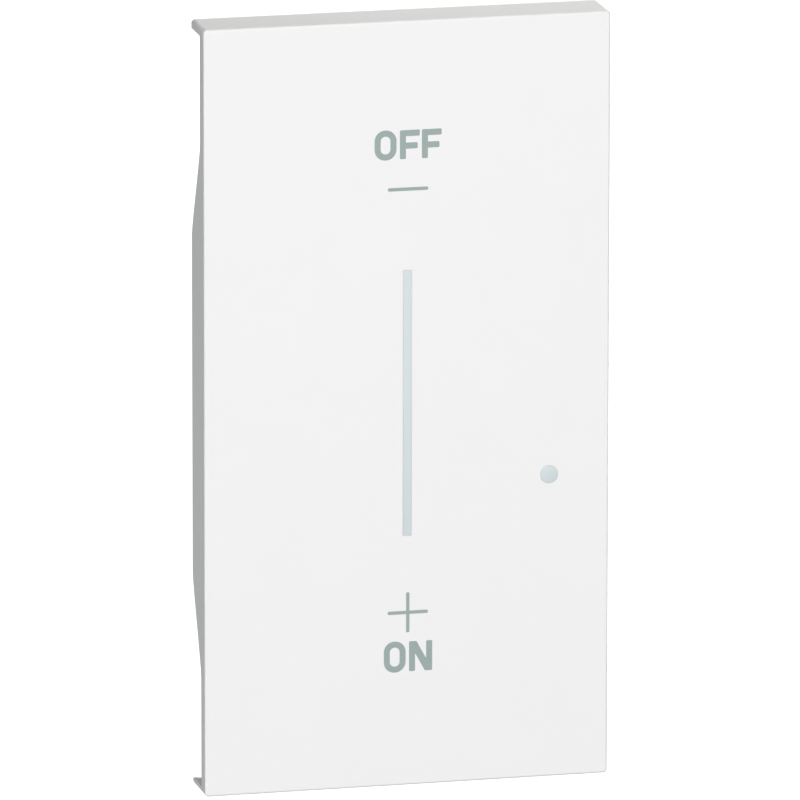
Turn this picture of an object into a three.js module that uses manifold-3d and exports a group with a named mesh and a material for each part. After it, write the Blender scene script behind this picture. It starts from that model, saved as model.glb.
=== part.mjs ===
// Flush-mounted dimmer insert with a full-height rocking front cover.
// Millimetres. +X right, +Z up, the front faces -Y. The origin is the centre of the seating
// plane, where the back of the mounting flange meets its supporting frame.
//
// The cover and its carrier rock on two hinge pins. Each end of the rocker moves a sprung push
// rod, which works a key switch on the control board. Level lights behind the cover shine through
// a bar diffuser, and the power board, heat sink and rising-cage terminals sit in the rear housing.
import * as THREE from 'three';
import Module from 'manifold-3d';
import { mergeVertices } from 'three/addons/utils/BufferGeometryUtils.js';

const wasm = await Module();
wasm.setup();

// ---------------------------------------------------------------- driving dimensions

const CLEARANCE = 0.3; // between pieces that are clipped or set beside each other
const RUNNING_FIT = 0.06; // around inserts that fit closely in their openings
const SEAT_GAP = 0.05; // between a component and the board that it is soldered to
const OVERRUN = 1; // how far a cutting tool runs past the face that it opens
const ROOT = 0.1; // how far a rib, boss or tongue reaches into the wall that it grows from

const COVER = {
  width: 45,
  height: 85,
  depth: 6.1, // of the top and bottom walls and of the middle of the side walls
  face: 1.5, // thickness of the front face
  sideWall: 0.9,
  topWall: 0.95,
  bottomWall: 0.7,
  corner: 0.6,
  rimDepth: 2, // of the side walls near their ends
  rimFrom: 29.6, // height above and below the centre where the shallow rim starts
  bulgeTo: 18.6, // height where the deep middle of the side wall ends
  easing: 1.5, // how long the curve between them takes to turn away at each end
};
const FACE_Y = -9.5; // the cover's front face
const COVER_BACK = FACE_Y + COVER.depth;
const COVER_INSIDE = FACE_Y + COVER.face;
const COVER_RIB = { thickness: 0.8, depth: 1.6 };
const CROSS_RIB = { z: 33, width: 39 };
const UPRIGHT_RIB = { x: 12, z: 35.2, height: 13 };

const BAR = { width: 1.04, height: 29.8, flangeWidth: 3.2, flangeHeight: 32, flange: 0.8 };
const LENS = { x: 15.92, z: -8.84, radius: 1.05, flangeRadius: 1.7, flange: 0.8 };
const LEVEL_LIGHTS = { count: 6, pitch: 5 };

const CARRIER = { width: 38, height: 54, front: -7.7, back: -6.3, corner: 2 };
const CARRIER_RIB = { thickness: 0.9, depth: 1, x: 9, height: 50, endZ: 25.5, endWidth: 32 };
const CARRIER_WINDOW = { x: 13.6, width: 5, z: 18, height: 8 };
const HOOK = { z: 20, width: 4, thickness: 0.9, barb: 0.7 };

const HINGE = { y: -4.2, pinRadius: 0.9, lugX: [14.4, 16.4], earX: [17, 18.4], pinX: [14.2, 18.6] };
const LUG = { footHalf: 3.2, radius: 1.7, earRadius: 1.95, pressFit: 0.04, turningFit: 0.08 };
const ROD = { z: 18.3, radius: 1.4, headRadius: 3, head: 0.9, headGap: 0.2, back: -0.2 };
const SPRING = { radius: 2.65, wire: 0.4, turns: 4 };

const FLANGE = { width: 40, height: 58, thickness: 1.6, rim: 0.8, rimWidth: 1, corner: 1.5 };
const NOTCH = { width: 8, depth: 1.4 };
const RECESS = { width: 37.8, height: 45.4, depth: 0.3, corner: 2.2 }; // where the housing sits
const GUIDE_BOSS = { radius: 2.2, front: -4.2, bore: 1.52 };
const LIGHT_SLOT = { width: 2.6, height: 30.4, statusRadius: 1.35 };
const TONGUE = { x: 16.3, thickness: 0.9, z: 15.5, width: 5, length: 3.1, barb: 0.8, barbLength: 1 };

const GUIDE = { front: -6.5, back: 2.3, collar: [-2.6, -1.66] };
const LEVEL_GUIDE = { width: 2, height: 30, collarWidth: 4 };
const STATUS_GUIDE = { radius: 1.1, collarRadius: 1.9 };

const HOUSING = {
  height: 44.6,
  shoulderWidth: 37.2,
  towerWidth: 31.2,
  front: 0,
  shoulderBack: 6,
  back: 18.5,
  wall: 1.1,
  rearWall: 1.3,
  corner: 2,
  chamfer: 0.8,
};
const SNAP = { x: 10.5, width: 6, slit: 0.8, from: 2.3, to: 5, proud: 1, tip: 0.5, relief: 0.6 };
const TONGUE_WINDOW = { from: 1.8, to: 3.5, width: 6 };
const MOUTH = { width: 5, from: 6.1, to: 10.5 }; // of a wire entry
const VENT = { x: 6.5, width: 9, height: 1.2, firstZ: 8, pitch: 3, rows: 4 };
const PARTITION = { thickness: 0.9, front: 6.4, top: -13.4 }; // between terminals

const CONTROL_BOARD = { width: 34.4, height: 41.6, front: 3.6, thickness: 1.2, corner: 0.8 };
const POWER_BOARD = { width: 28.2, from: -12.5, to: 20.6, front: 9.1, thickness: 1.2 };
const LEVEL_LED = { width: 2.8, height: 3.5, thickness: 0.8, domeWidth: 2.2, domeHeight: 2.6, dome: 0.2 };
const STATUS_LED = { size: 1.6, thickness: 0.7 };
const CHIP = { x: -9, z: 6, size: 7, height: 0.9, chamfer: 0.2 };
const SWITCH = { size: 5.2, height: 2.4, well: 1.4 };
const BUTTON = { radius: 1.6, front: 0.3, back: 1.9, gap: 0.15 };
const HEADER = { x: -11.5, width: 2.5, z: 8, height: 12.7 };

const TRANSISTOR = { x: 7, body: 9.2, width: 10, foot: 4.2, tab: 1.3, height: 4.4, tabTop: 19.8 };
const TAB_HOLE = { radius: 1.8, below: 2.8 };
const PAD = { width: 25, z: 12, height: 15.4, thickness: 0.3 };
const HEAT_SINK = { width: 27, z: 12, height: 16.8, thickness: 1.2, wing: 0.8, wingFront: 11 };
const CHOKE = { x: -8.4, z: -4.4, radius: 4.5, waist: 2, height: 5.8, flange: 0.8 };
const WINDING = { turns: 5, ridge: 0.25, inset: 0.5, gap: 0.1 };
const FILM_CAPACITOR = { x: 7, width: 12, z: -0.6, height: 5, thickness: 6 };
const CAN = { x: 2, z: -8.3, radius: 3.1, length: 10, edge: 0.2, groove: 0.4, grooveAt: 8.6 };
const FUSE = { z: 1.6, lift: 1.2, radius: 1, from: -11.4, to: -5.4, leadRadius: 0.3, lead: 1.6 };
const RECTIFIER = { x: 6, width: 6.4, z: 8, height: 5, thickness: 2.5 };

const TERMINAL = { pitch: 9.4, z: -17.5 };
const STRIP = { width: 4.2, front: 10.6, thickness: 0.7, from: -20.2, to: -12.7 };
const CAGE = { width: 6.8, length: 6.2, wall: 0.9, front: 5.3, back: 13, holeGap: 0.25 };
const SCREW = { headRadius: 2.5, head: 1.6, headFront: 16.3, shankRadius: 1.45 };
const SCREW_SLOT = { depth: 0.9, width: 0.7, cross: 2.8 };
const SCREW_WELL_GAP = 0.35;

// ---------------------------------------------------------------- materials

const finish = (color, roughness, metalness = 0, opacity = 1) =>
  new THREE.MeshStandardMaterial({ color, roughness, metalness, opacity, transparent: opacity < 1 });

const MATERIAL = {
  coverPlastic: finish(0xf3f3f2, 0.45),
  diffuser: finish(0xd6dee1, 0.35),
  clearAcrylic: finish(0xe8f2f4, 0.1, 0, 0.6),
  framePlastic: finish(0xd8d8d5, 0.5),
  housingPlastic: finish(0x3a3c3f, 0.55),
  rodPlastic: finish(0xe9e6da, 0.4),
  steel: finish(0xb5b7ba, 0.3, 1),
  springSteel: finish(0x9fa3a8, 0.25, 1),
  board: finish(0x1f5a35, 0.5),
  switchPlastic: finish(0x26272a, 0.5),
  buttonPlastic: finish(0x2f3034, 0.4),
  lamp: finish(0xf2ead0, 0.3),
  chipResin: finish(0x1b1b1d, 0.5),
  aluminium: finish(0xc4c7ca, 0.35, 1),
  padRubber: finish(0x9aa6b5, 0.8),
  ferrite: finish(0x333236, 0.6),
  copper: finish(0xb5673a, 0.3, 1),
  filmCase: finish(0xd8c23c, 0.4),
  canSleeve: finish(0x27405f, 0.35),
  fuseBody: finish(0xe4dfd0, 0.5),
  brass: finish(0xc9a64b, 0.3, 1),
};

// ---------------------------------------------------------------- solid helpers

function solidOf(geometry) {
  const bare = geometry.index ? geometry.toNonIndexed() : geometry.clone();
  bare.deleteAttribute('normal');
  bare.deleteAttribute('uv');
  const merged = mergeVertices(bare, 1e-5);
  const vertProperties = new Float32Array(merged.attributes.position.array);
  const triVerts = new Uint32Array(merged.index.array);
  return new wasm.Manifold(new wasm.Mesh({ numProp: 3, vertProperties, triVerts }));
}

function geometryOf(solid) {
  const mesh = solid.getMesh();
  const geometry = new THREE.BufferGeometry();
  geometry.setAttribute('position', new THREE.BufferAttribute(mesh.vertProperties, 3));
  geometry.setIndex(new THREE.BufferAttribute(mesh.triVerts, 1));
  geometry.computeVertexNormals();
  return geometry;
}

const join = (...geometries) =>
  geometryOf(geometries.map(solidOf).reduce((whole, next) => whole.add(next)));

const cut = (geometry, ...tools) =>
  geometryOf(tools.map(solidOf).reduce((left, tool) => left.subtract(tool), solidOf(geometry)));

function block([x0, x1], [y0, y1], [z0, z1]) {
  const geometry = new THREE.BoxGeometry(x1 - x0, y1 - y0, z1 - z0);
  return geometry.translate((x0 + x1) / 2, (y0 + y1) / 2, (z0 + z1) / 2);
}

const around = (centre, width) => [centre - width / 2, centre + width / 2];

// A span given for the right-hand side, mirrored when the side is the left one.
const onSide = (side, [inner, outer]) => (side > 0 ? [inner, outer] : [-outer, -inner]);

const rodAlongY = (radius, [y0, y1], x = 0, z = 0, sides = 24) =>
  new THREE.CylinderGeometry(radius, radius, y1 - y0, sides).translate(x, (y0 + y1) / 2, z);

const rodAlongX = (radius, [x0, x1], y = 0, z = 0, sides = 24) =>
  new THREE.CylinderGeometry(radius, radius, x1 - x0, sides)
    .rotateZ(Math.PI / 2)
    .translate((x0 + x1) / 2, y, z);

function roundedRectangle(width, height, radius) {
  const [x, y] = [width / 2, height / 2];
  const shape = new THREE.Shape();
  shape.moveTo(x, y - radius);
  shape.absarc(x - radius, y - radius, radius, 0, Math.PI / 2);
  shape.absarc(radius - x, y - radius, radius, Math.PI / 2, Math.PI);
  shape.absarc(radius - x, radius - y, radius, Math.PI, Math.PI * 1.5);
  shape.absarc(x - radius, radius - y, radius, Math.PI * 1.5, Math.PI * 2);
  return shape;
}

// A plate with rounded corners, upright in X and Z and centred on x = z = 0. A chamfer runs round
// both of its faces.
function slab(width, height, radius, [y0, y1], chamfer = 0) {
  const settings = {
    depth: y1 - y0 - 2 * chamfer,
    curveSegments: 4,
    bevelEnabled: chamfer > 0,
    bevelThickness: chamfer,
    bevelSize: chamfer,
    bevelOffset: -chamfer,
    bevelSegments: 1,
  };
  const geometry = new THREE.ExtrudeGeometry(roundedRectangle(width, height, radius), settings);
  return geometry.rotateX(Math.PI / 2).translate(0, y1 - chamfer, 0);
}

// An outline drawn in (y, z), given thickness along X.
function extrudeAlongX(shape, [x0, x1], curveSegments = 12) {
  const settings = { depth: x1 - x0, bevelEnabled: false, curveSegments };
  const geometry = new THREE.ExtrudeGeometry(shape, settings);
  const alongY = new THREE.Vector3(0, 1, 0);
  const alongZ = new THREE.Vector3(0, 0, 1);
  const alongX = new THREE.Vector3(1, 0, 0);
  geometry.applyMatrix4(new THREE.Matrix4().makeBasis(alongY, alongZ, alongX));
  return geometry.translate(x0, 0, 0);
}

function outline(points) {
  return new THREE.Shape(points.map(([x, y]) => new THREE.Vector2(x, y)));
}

// A hinge lug in (y, z): a foot on the plane y = footY that narrows to a round end on the axis.
function lugOutline(footY, endRadius) {
  const shape = new THREE.Shape();
  const forward = Math.sign(HINGE.y - footY);
  shape.moveTo(footY, LUG.footHalf * forward);
  shape.lineTo(HINGE.y, endRadius * forward);
  const start = (Math.PI / 2) * forward;
  shape.absarc(HINGE.y, 0, endRadius, start, start - Math.PI, true);
  shape.lineTo(footY, -LUG.footHalf * forward);
  return shape;
}

const part = new THREE.Group();

function add(name, geometry, material) {
  const mesh = new THREE.Mesh(geometry, material);
  mesh.name = name;
  part.add(mesh);
  return mesh;
}

const SIDES = [['left', -1], ['right', 1]];
const ENDS = [['upper', 1], ['lower', -1]];

// ---------------------------------------------------------------- front cover

// What is cut away behind one end of the side walls: the shallow rim, then a smooth S-curve
// out to the full depth of the wall's middle.
function sideRelief(end) {
  const rimY = FACE_Y + COVER.rimDepth;
  const wallInside = COVER.height / 2 - (end > 0 ? COVER.topWall : COVER.bottomWall);
  const shape = new THREE.Shape();
  shape.moveTo(rimY, end * wallInside);
  shape.lineTo(rimY, end * COVER.rimFrom);
  shape.bezierCurveTo(
    rimY, end * (COVER.rimFrom - COVER.easing),
    COVER_BACK, end * (COVER.bulgeTo + COVER.easing),
    COVER_BACK, end * COVER.bulgeTo,
  );
  shape.lineTo(COVER_BACK + OVERRUN, end * COVER.bulgeTo);
  shape.lineTo(COVER_BACK + OVERRUN, end * wallInside);
  const half = COVER.width / 2 + OVERRUN;
  return extrudeAlongX(shape, [-half, half]);
}

// A snap hook of the cover: a strip beside the carrier with a barb behind the carrier's edge.
function coverHook(side, z) {
  const stripInside = CARRIER.width / 2 + CLEARANCE;
  const barbFront = CARRIER.back + CLEARANCE;
  const hookBack = barbFront + HOOK.barb;
  const depth = [COVER_INSIDE - ROOT, hookBack];
  const stripSpan = onSide(side, [stripInside, stripInside + HOOK.thickness]);
  const barbSpan = onSide(side, [stripInside - 2 * HOOK.barb, stripInside + HOOK.thickness / 2]);
  const strip = block(stripSpan, depth, around(z, HOOK.width));
  const barb = block(barbSpan, [barbFront, hookBack], around(z, HOOK.width));
  return join(strip, barb);
}

function frontCover() {
  const { width, height, corner, sideWall, topWall, bottomWall } = COVER;
  const shell = slab(width, height, corner, [FACE_Y, COVER_BACK]);
  const cavity = block(
    [sideWall - width / 2, width / 2 - sideWall],
    [COVER_INSIDE, COVER_BACK + OVERRUN],
    [bottomWall - height / 2, height / 2 - topWall],
  );
  const pan = cut(shell, cavity, sideRelief(1), sideRelief(-1));
  const ribDepth = [COVER_INSIDE - ROOT, COVER_INSIDE + COVER_RIB.depth];
  const crossRibs = ENDS.map(([, end]) =>
    block(around(0, CROSS_RIB.width), ribDepth, around(end * CROSS_RIB.z, COVER_RIB.thickness)));
  const uprightRibs = ENDS.flatMap(([, end]) =>
    SIDES.map(([, side]) => block(
      around(side * UPRIGHT_RIB.x, COVER_RIB.thickness),
      ribDepth,
      around(end * UPRIGHT_RIB.z, UPRIGHT_RIB.height),
    )));
  const hooks = SIDES.flatMap(([, side]) =>
    [-HOOK.z, HOOK.z].map((z) => coverHook(side, z)));
  const through = [FACE_Y - OVERRUN, COVER_INSIDE + OVERRUN];
  return cut(
    join(pan, ...crossRibs, ...uprightRibs, ...hooks),
    block(around(0, BAR.width + 2 * RUNNING_FIT), through, around(0, BAR.height + 2 * RUNNING_FIT)),
    rodAlongY(LENS.radius + RUNNING_FIT, through, LENS.x, LENS.z, 32),
  );
}

// The diffusers fill their openings flush with the face and are held by a flange behind it.
const INLAY_SEAT = COVER_INSIDE + RUNNING_FIT;
const inlayFlange = ({ flange }) => [INLAY_SEAT, INLAY_SEAT + flange];

function levelLightBar() {
  const flange = inlayFlange(BAR);
  return join(
    block(around(0, BAR.width), [FACE_Y, INLAY_SEAT + ROOT], around(0, BAR.height)),
    block(around(0, BAR.flangeWidth), flange, around(0, BAR.flangeHeight)),
  );
}

function statusLens() {
  return join(
    rodAlongY(LENS.radius, [FACE_Y, INLAY_SEAT + ROOT], LENS.x, LENS.z, 32),
    rodAlongY(LENS.flangeRadius, inlayFlange(LENS), LENS.x, LENS.z, 32),
  );
}

// ---------------------------------------------------------------- rocker carrier and hinge

const pinHole = (fit) =>
  rodAlongX(HINGE.pinRadius + fit, around(0, CARRIER.width + 2 * OVERRUN), HINGE.y, 0, 32);

function rockerCarrier() {
  const { thickness, depth, x, height, endZ, endWidth } = CARRIER_RIB;
  const plate = slab(CARRIER.width, CARRIER.height, CARRIER.corner, [CARRIER.front, CARRIER.back]);
  const ribDepth = [CARRIER.back - ROOT, CARRIER.back + depth];
  const ribs = SIDES.map(([, side]) =>
    block(around(side * x, thickness), ribDepth, around(0, height)));
  const ends = ENDS.map(([, end]) =>
    block(around(0, endWidth), ribDepth, around(end * endZ, thickness)));
  const ear = lugOutline(CARRIER.back - ROOT, LUG.earRadius);
  const ears = SIDES.map(([, side]) => extrudeAlongX(ear, onSide(side, HINGE.earX)));
  const through = [CARRIER.front - OVERRUN, CARRIER.back + OVERRUN];
  const windows = ENDS.flatMap(([, end]) =>
    SIDES.map(([, side]) => block(
      around(side * CARRIER_WINDOW.x, CARRIER_WINDOW.width),
      through,
      around(end * CARRIER_WINDOW.z, CARRIER_WINDOW.height),
    )));
  const fit = 2 * CLEARANCE;
  return cut(
    join(plate, ...ribs, ...ends, ...ears),
    block(around(0, BAR.flangeWidth + fit), through, around(0, BAR.flangeHeight + fit)),
    rodAlongY(LENS.flangeRadius + CLEARANCE, through, LENS.x, LENS.z),
    pinHole(LUG.turningFit),
    ...windows,
  );
}

const hingePin = (side) => rodAlongX(HINGE.pinRadius, onSide(side, HINGE.pinX), HINGE.y, 0, 32);

// ---------------------------------------------------------------- push rods and their springs

const ROD_HEAD_FRONT = CARRIER.back + ROD.headGap;
const ROD_HEAD_BACK = ROD_HEAD_FRONT + ROD.head;

function pushRod(end) {
  return join(
    rodAlongY(ROD.headRadius, [ROD_HEAD_FRONT, ROD_HEAD_BACK], 0, end * ROD.z),
    rodAlongY(ROD.radius, [ROD_HEAD_BACK - ROOT, ROD.back], 0, end * ROD.z),
  );
}

class Helix extends THREE.Curve {
  constructor(radius, turns, [from, to], z) {
    super();
    Object.assign(this, { radius, turns, from, to, z });
  }

  getPoint(t, target = new THREE.Vector3()) {
    const angle = 2 * Math.PI * this.turns * t;
    return target.set(
      this.radius * Math.cos(angle),
      this.from + (this.to - this.from) * t,
      this.z + this.radius * Math.sin(angle),
    );
  }
}

function returnSpring(end) {
  const inset = SPRING.wire / 2 + RUNNING_FIT;
  const span = [ROD_HEAD_BACK + inset, -FLANGE.thickness - inset];
  const section = new THREE.Shape();
  section.absarc(0, 0, SPRING.wire / 2, 0, 2 * Math.PI);
  return new THREE.ExtrudeGeometry(section, {
    steps: SPRING.turns * 16,
    extrudePath: new Helix(SPRING.radius, SPRING.turns, span, end * ROD.z),
    curveSegments: 3,
    bevelEnabled: false,
  });
}

// ---------------------------------------------------------------- mounting frame

// A snap tongue behind the flange, with its barb facing the housing's side wall.
function frameTongue(side, z) {
  const outer = TONGUE.x + TONGUE.thickness;
  const root = -RECESS.depth - ROOT;
  const barbFront = TONGUE.length - TONGUE.barbLength;
  const section = outline([
    [side * TONGUE.x, root],
    [side * outer, root],
    [side * outer, barbFront],
    [side * (outer + TONGUE.barb), barbFront],
    [side * outer, TONGUE.length],
    [side * TONGUE.x, TONGUE.length],
  ]);
  const settings = { depth: TONGUE.width, bevelEnabled: false };
  return new THREE.ExtrudeGeometry(section, settings).translate(0, 0, z - TONGUE.width / 2);
}

function mountingFrame() {
  const { width, height, corner, thickness, rim, rimWidth } = FLANGE;
  const tray = cut(
    slab(width, height, corner, [-thickness - rim, 0]),
    slab(width - 2 * rimWidth, height - 2 * rimWidth, corner - rimWidth,
      [-thickness - rim - OVERRUN, -thickness]),
    slab(RECESS.width, RECESS.height, RECESS.corner, [-RECESS.depth, OVERRUN]),
  );
  const front = ROOT - thickness;
  const lugs = SIDES.map(([, side]) =>
    extrudeAlongX(lugOutline(front, LUG.radius), onSide(side, HINGE.lugX)));
  const bosses = ENDS.map(([, end]) =>
    rodAlongY(GUIDE_BOSS.radius, [GUIDE_BOSS.front, front], 0, end * ROD.z));
  const tongues = SIDES.flatMap(([, side]) =>
    [-TONGUE.z, TONGUE.z].map((z) => frameTongue(side, z)));
  const through = [GUIDE_BOSS.front - OVERRUN, OVERRUN];
  const notches = ENDS.map(([, end]) =>
    block(around(0, NOTCH.width), through, around((end * height) / 2, 2 * NOTCH.depth)));
  const bores = ENDS.map(([, end]) => rodAlongY(GUIDE_BOSS.bore, through, 0, end * ROD.z));
  return cut(
    join(tray, ...lugs, ...bosses, ...tongues),
    block(around(0, LIGHT_SLOT.width), through, around(0, LIGHT_SLOT.height)),
    rodAlongY(LIGHT_SLOT.statusRadius, through, LENS.x, LENS.z),
    pinHole(LUG.pressFit),
    ...notches, ...bores,
  );
}

// ---------------------------------------------------------------- light guides

// Each guide runs from just behind its diffuser to just in front of its lamps.
const GUIDE_SPAN = [GUIDE.front, GUIDE.back];

function levelLightGuide() {
  const { width, height, collarWidth } = LEVEL_GUIDE;
  return join(
    block(around(0, width), GUIDE_SPAN, around(0, height)),
    block(around(0, collarWidth), GUIDE.collar, around(0, height)),
  );
}

function statusLightGuide() {
  return join(
    rodAlongY(STATUS_GUIDE.radius, GUIDE_SPAN, LENS.x, LENS.z),
    rodAlongY(STATUS_GUIDE.collarRadius, GUIDE.collar, LENS.x, LENS.z),
  );
}

// ---------------------------------------------------------------- control board

// Depths taken up by a component of this height on a board's front or back.
const onFront = (board, height) => {
  const foot = board.front - SEAT_GAP;
  return [foot - height, foot];
};
const boardBack = (board) => board.front + board.thickness;
const onBack = (board, height) => {
  const foot = boardBack(board) + SEAT_GAP;
  return [foot, foot + height];
};

function controlBoard() {
  const { width, height, corner, front } = CONTROL_BOARD;
  return slab(width, height, corner, [front, boardBack(CONTROL_BOARD)]);
}

function keySwitch(end) {
  const depth = onFront(CONTROL_BOARD, SWITCH.height);
  const body = block(around(0, SWITCH.size), depth, around(end * ROD.z, SWITCH.size));
  const well = [depth[0] - OVERRUN, depth[0] + SWITCH.well];
  return cut(body, rodAlongY(BUTTON.radius + BUTTON.gap, well, 0, end * ROD.z, 20));
}

const switchButton = (end) =>
  rodAlongY(BUTTON.radius, [BUTTON.front, BUTTON.back], 0, end * ROD.z, 20);

function levelLed(index) {
  const { width, height, thickness, domeWidth, domeHeight, dome } = LEVEL_LED;
  const z = (index - (LEVEL_LIGHTS.count - 1) / 2) * LEVEL_LIGHTS.pitch;
  const [front, back] = onFront(CONTROL_BOARD, thickness);
  return join(
    block(around(0, width), [front + dome, back], around(z, height)),
    block(around(0, domeWidth), [front, front + dome + ROOT], around(z, domeHeight)),
  );
}

function statusLed() {
  const { size, thickness } = STATUS_LED;
  return block(around(LENS.x, size), onFront(CONTROL_BOARD, thickness), around(LENS.z, size));
}

// A flat leadless package with a chamfered top.
function microcontroller() {
  const { x, z, size, height, chamfer } = CHIP;
  const [front, back] = onFront(CONTROL_BOARD, height);
  const sections = [[back, size / 2], [front + chamfer, size / 2], [front, size / 2 - chamfer]];
  const profile = [[0, back]]
    .concat(sections.map(([y, half]) => [half * Math.SQRT2, y]), [[0, front]])
    .map(([radius, y]) => new THREE.Vector2(radius, y))
    .reverse();
  return new THREE.LatheGeometry(profile, 4, Math.PI / 4).translate(x, 0, z);
}

function boardLinkHeader() {
  const { x, width, z, height } = HEADER;
  const depth = [boardBack(CONTROL_BOARD) + SEAT_GAP, POWER_BOARD.front - SEAT_GAP];
  return block(around(x, width), depth, around(z, height));
}

// ---------------------------------------------------------------- power board

function powerBoard() {
  return block(
    around(0, POWER_BOARD.width),
    [POWER_BOARD.front, boardBack(POWER_BOARD)],
    [POWER_BOARD.from, POWER_BOARD.to],
  );
}

// Resin body on the board with its metal tab lying against the thermal pad.
function powerTransistor(side) {
  const { x, body, width, foot, tab, height, tabTop } = TRANSISTOR;
  const [front, back] = onBack(POWER_BOARD, height);
  return cut(
    join(
      block(around(side * x, width), [front, back - 0.5], [foot, foot + body]),
      block(around(side * x, width), [back - tab, back], [foot + 0.5, tabTop]),
    ),
    rodAlongY(TAB_HOLE.radius, around(back, 2 * (tab + OVERRUN)), side * x, tabTop - TAB_HOLE.below),
  );
}

const PAD_FRONT = onBack(POWER_BOARD, TRANSISTOR.height)[1] + SEAT_GAP;

function thermalPad() {
  const { width, z, height, thickness } = PAD;
  return block(around(0, width), [PAD_FRONT, PAD_FRONT + thickness], around(z, height));
}

function heatSink() {
  const { width, z, height, thickness, wing, wingFront } = HEAT_SINK;
  const front = PAD_FRONT + PAD.thickness + SEAT_GAP;
  const back = front + thickness;
  const plate = block(around(0, width), [front, back], around(z, height));
  const wings = SIDES.map(([, side]) =>
    block(around((side * (width - wing)) / 2, wing), [wingFront, back], around(z, height)));
  return join(plate, ...wings);
}

function chokeCore() {
  const { x, z, radius, waist, height, flange } = CHOKE;
  const [front, back] = onBack(POWER_BOARD, height);
  const profile = [
    [0, front],
    [radius, front],
    [radius, front + flange],
    [waist, front + flange],
    [waist, back - flange],
    [radius, back - flange],
    [radius, back],
    [0, back],
  ].map(([r, y]) => new THREE.Vector2(r, y));
  return new THREE.LatheGeometry(profile, 24).translate(x, 0, z);
}

// The wound copper, ridged by its layers of wire.
function chokeWinding() {
  const { x, z, radius, waist, height, flange } = CHOKE;
  const { turns, ridge, inset, gap } = WINDING;
  const [front, back] = onBack(POWER_BOARD, height);
  const inner = waist + gap;
  const outer = radius - inset;
  const from = front + flange + gap;
  const pitch = (back - flange - gap - from) / turns;
  const profile = [new THREE.Vector2(inner, from)];
  for (let turn = 0; turn < turns; turn += 1) {
    profile.push(new THREE.Vector2(outer - ridge, from + pitch * turn));
    profile.push(new THREE.Vector2(outer, from + pitch * (turn + 0.5)));
  }
  profile.push(new THREE.Vector2(outer - ridge, from + pitch * turns));
  profile.push(new THREE.Vector2(inner, from + pitch * turns));
  profile.push(profile[0].clone());
  return new THREE.LatheGeometry(profile, 24).translate(x, 0, z);
}

function filmCapacitor() {
  const { x, width, z, height, thickness } = FILM_CAPACITOR;
  return block(around(x, width), onBack(POWER_BOARD, thickness), around(z, height));
}

// A radial can lying on its side, with the rolled groove near its seal.
function reservoirCapacitor() {
  const { x, z, radius, length, edge, groove, grooveAt } = CAN;
  const [front] = onBack(POWER_BOARD, 0);
  const profile = [
    [0, 0],
    [radius - edge, 0],
    [radius, edge],
    [radius, grooveAt - groove],
    [radius - groove, grooveAt],
    [radius, grooveAt + groove],
    [radius, length - edge],
    [radius - edge, length],
    [0, length],
  ].map(([r, y]) => new THREE.Vector2(r, y));
  return new THREE.LatheGeometry(profile, 24)
    .rotateZ(-Math.PI / 2)
    .translate(x, front + radius, z);
}

function thermalFuse() {
  const { z, lift, radius, from, to, leadRadius, lead } = FUSE;
  const [front] = onBack(POWER_BOARD, 0);
  return join(
    rodAlongX(radius, [from, to], front + lift, z, 16),
    rodAlongX(leadRadius, [from - lead, to + lead], front + lift, z, 8),
  );
}

function bridgeRectifier() {
  const { x, width, z, height, thickness } = RECTIFIER;
  return block(around(x, width), onFront(POWER_BOARD, thickness), around(z, height));
}

// ---------------------------------------------------------------- terminals

const TERMINALS = ['left', 'middle', 'right'];
const terminalX = (index) => (index - 1) * TERMINAL.pitch;

// The contact strip runs from inside the cage to the power board.
function terminalStrip(index) {
  const { width, front, thickness, from, to } = STRIP;
  return block(around(terminalX(index), width), [front, front + thickness], [from, to]);
}

// A box clamp, drawn fully open. It rises towards the screw head and grips the wire on the strip.
function terminalCage(index) {
  const x = terminalX(index);
  const { width, length, wall, front, back, holeGap } = CAGE;
  const inside = [front + wall, back - wall];
  const tapped = around(back - wall / 2, wall + OVERRUN);
  return cut(
    block(around(x, width), [front, back], around(TERMINAL.z, length)),
    block(around(x, width - 2 * wall), inside, around(TERMINAL.z, length + 2 * OVERRUN)),
    rodAlongY(SCREW.shankRadius + holeGap, tapped, x, TERMINAL.z, 20),
  );
}

// A combination head: straight slot and cross recess.
function terminalScrew(index) {
  const x = terminalX(index);
  const { depth, width, cross } = SCREW_SLOT;
  const tip = STRIP.front + STRIP.thickness + CLEARANCE;
  const headBack = SCREW.headFront + SCREW.head;
  const recess = [headBack - depth, headBack + OVERRUN];
  return cut(
    join(
      rodAlongY(SCREW.headRadius, [SCREW.headFront, headBack], x, TERMINAL.z),
      rodAlongY(SCREW.shankRadius, [tip, SCREW.headFront + ROOT], x, TERMINAL.z, 20),
    ),
    block(around(x, 2 * SCREW.headRadius + OVERRUN), recess, around(TERMINAL.z, width)),
    block(around(x, width), recess, around(TERMINAL.z, cross)),
  );
}

// ---------------------------------------------------------------- rear housing

// A sprung catch in the top or bottom wall: a wedge between two slits.
function snapWedge(end, x) {
  const { from, to, proud, tip, width } = SNAP;
  const wallFace = HOUSING.height / 2;
  const section = outline([
    [from, end * (wallFace - ROOT)],
    [to, end * (wallFace - ROOT)],
    [from + tip, end * (wallFace + proud)],
    [from, end * (wallFace + proud)],
  ]);
  return extrudeAlongX(section, around(x, width));
}

function snapSlits(end, x) {
  const { width, slit, to, relief } = SNAP;
  const wall = around((end * HOUSING.height) / 2, 2 * (HOUSING.wall + ROOT));
  return SIDES.map(([, side]) => {
    const slitX = x + (side * (width + slit)) / 2;
    return block(around(slitX, slit), [HOUSING.front - OVERRUN, to + relief], wall);
  });
}

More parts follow.
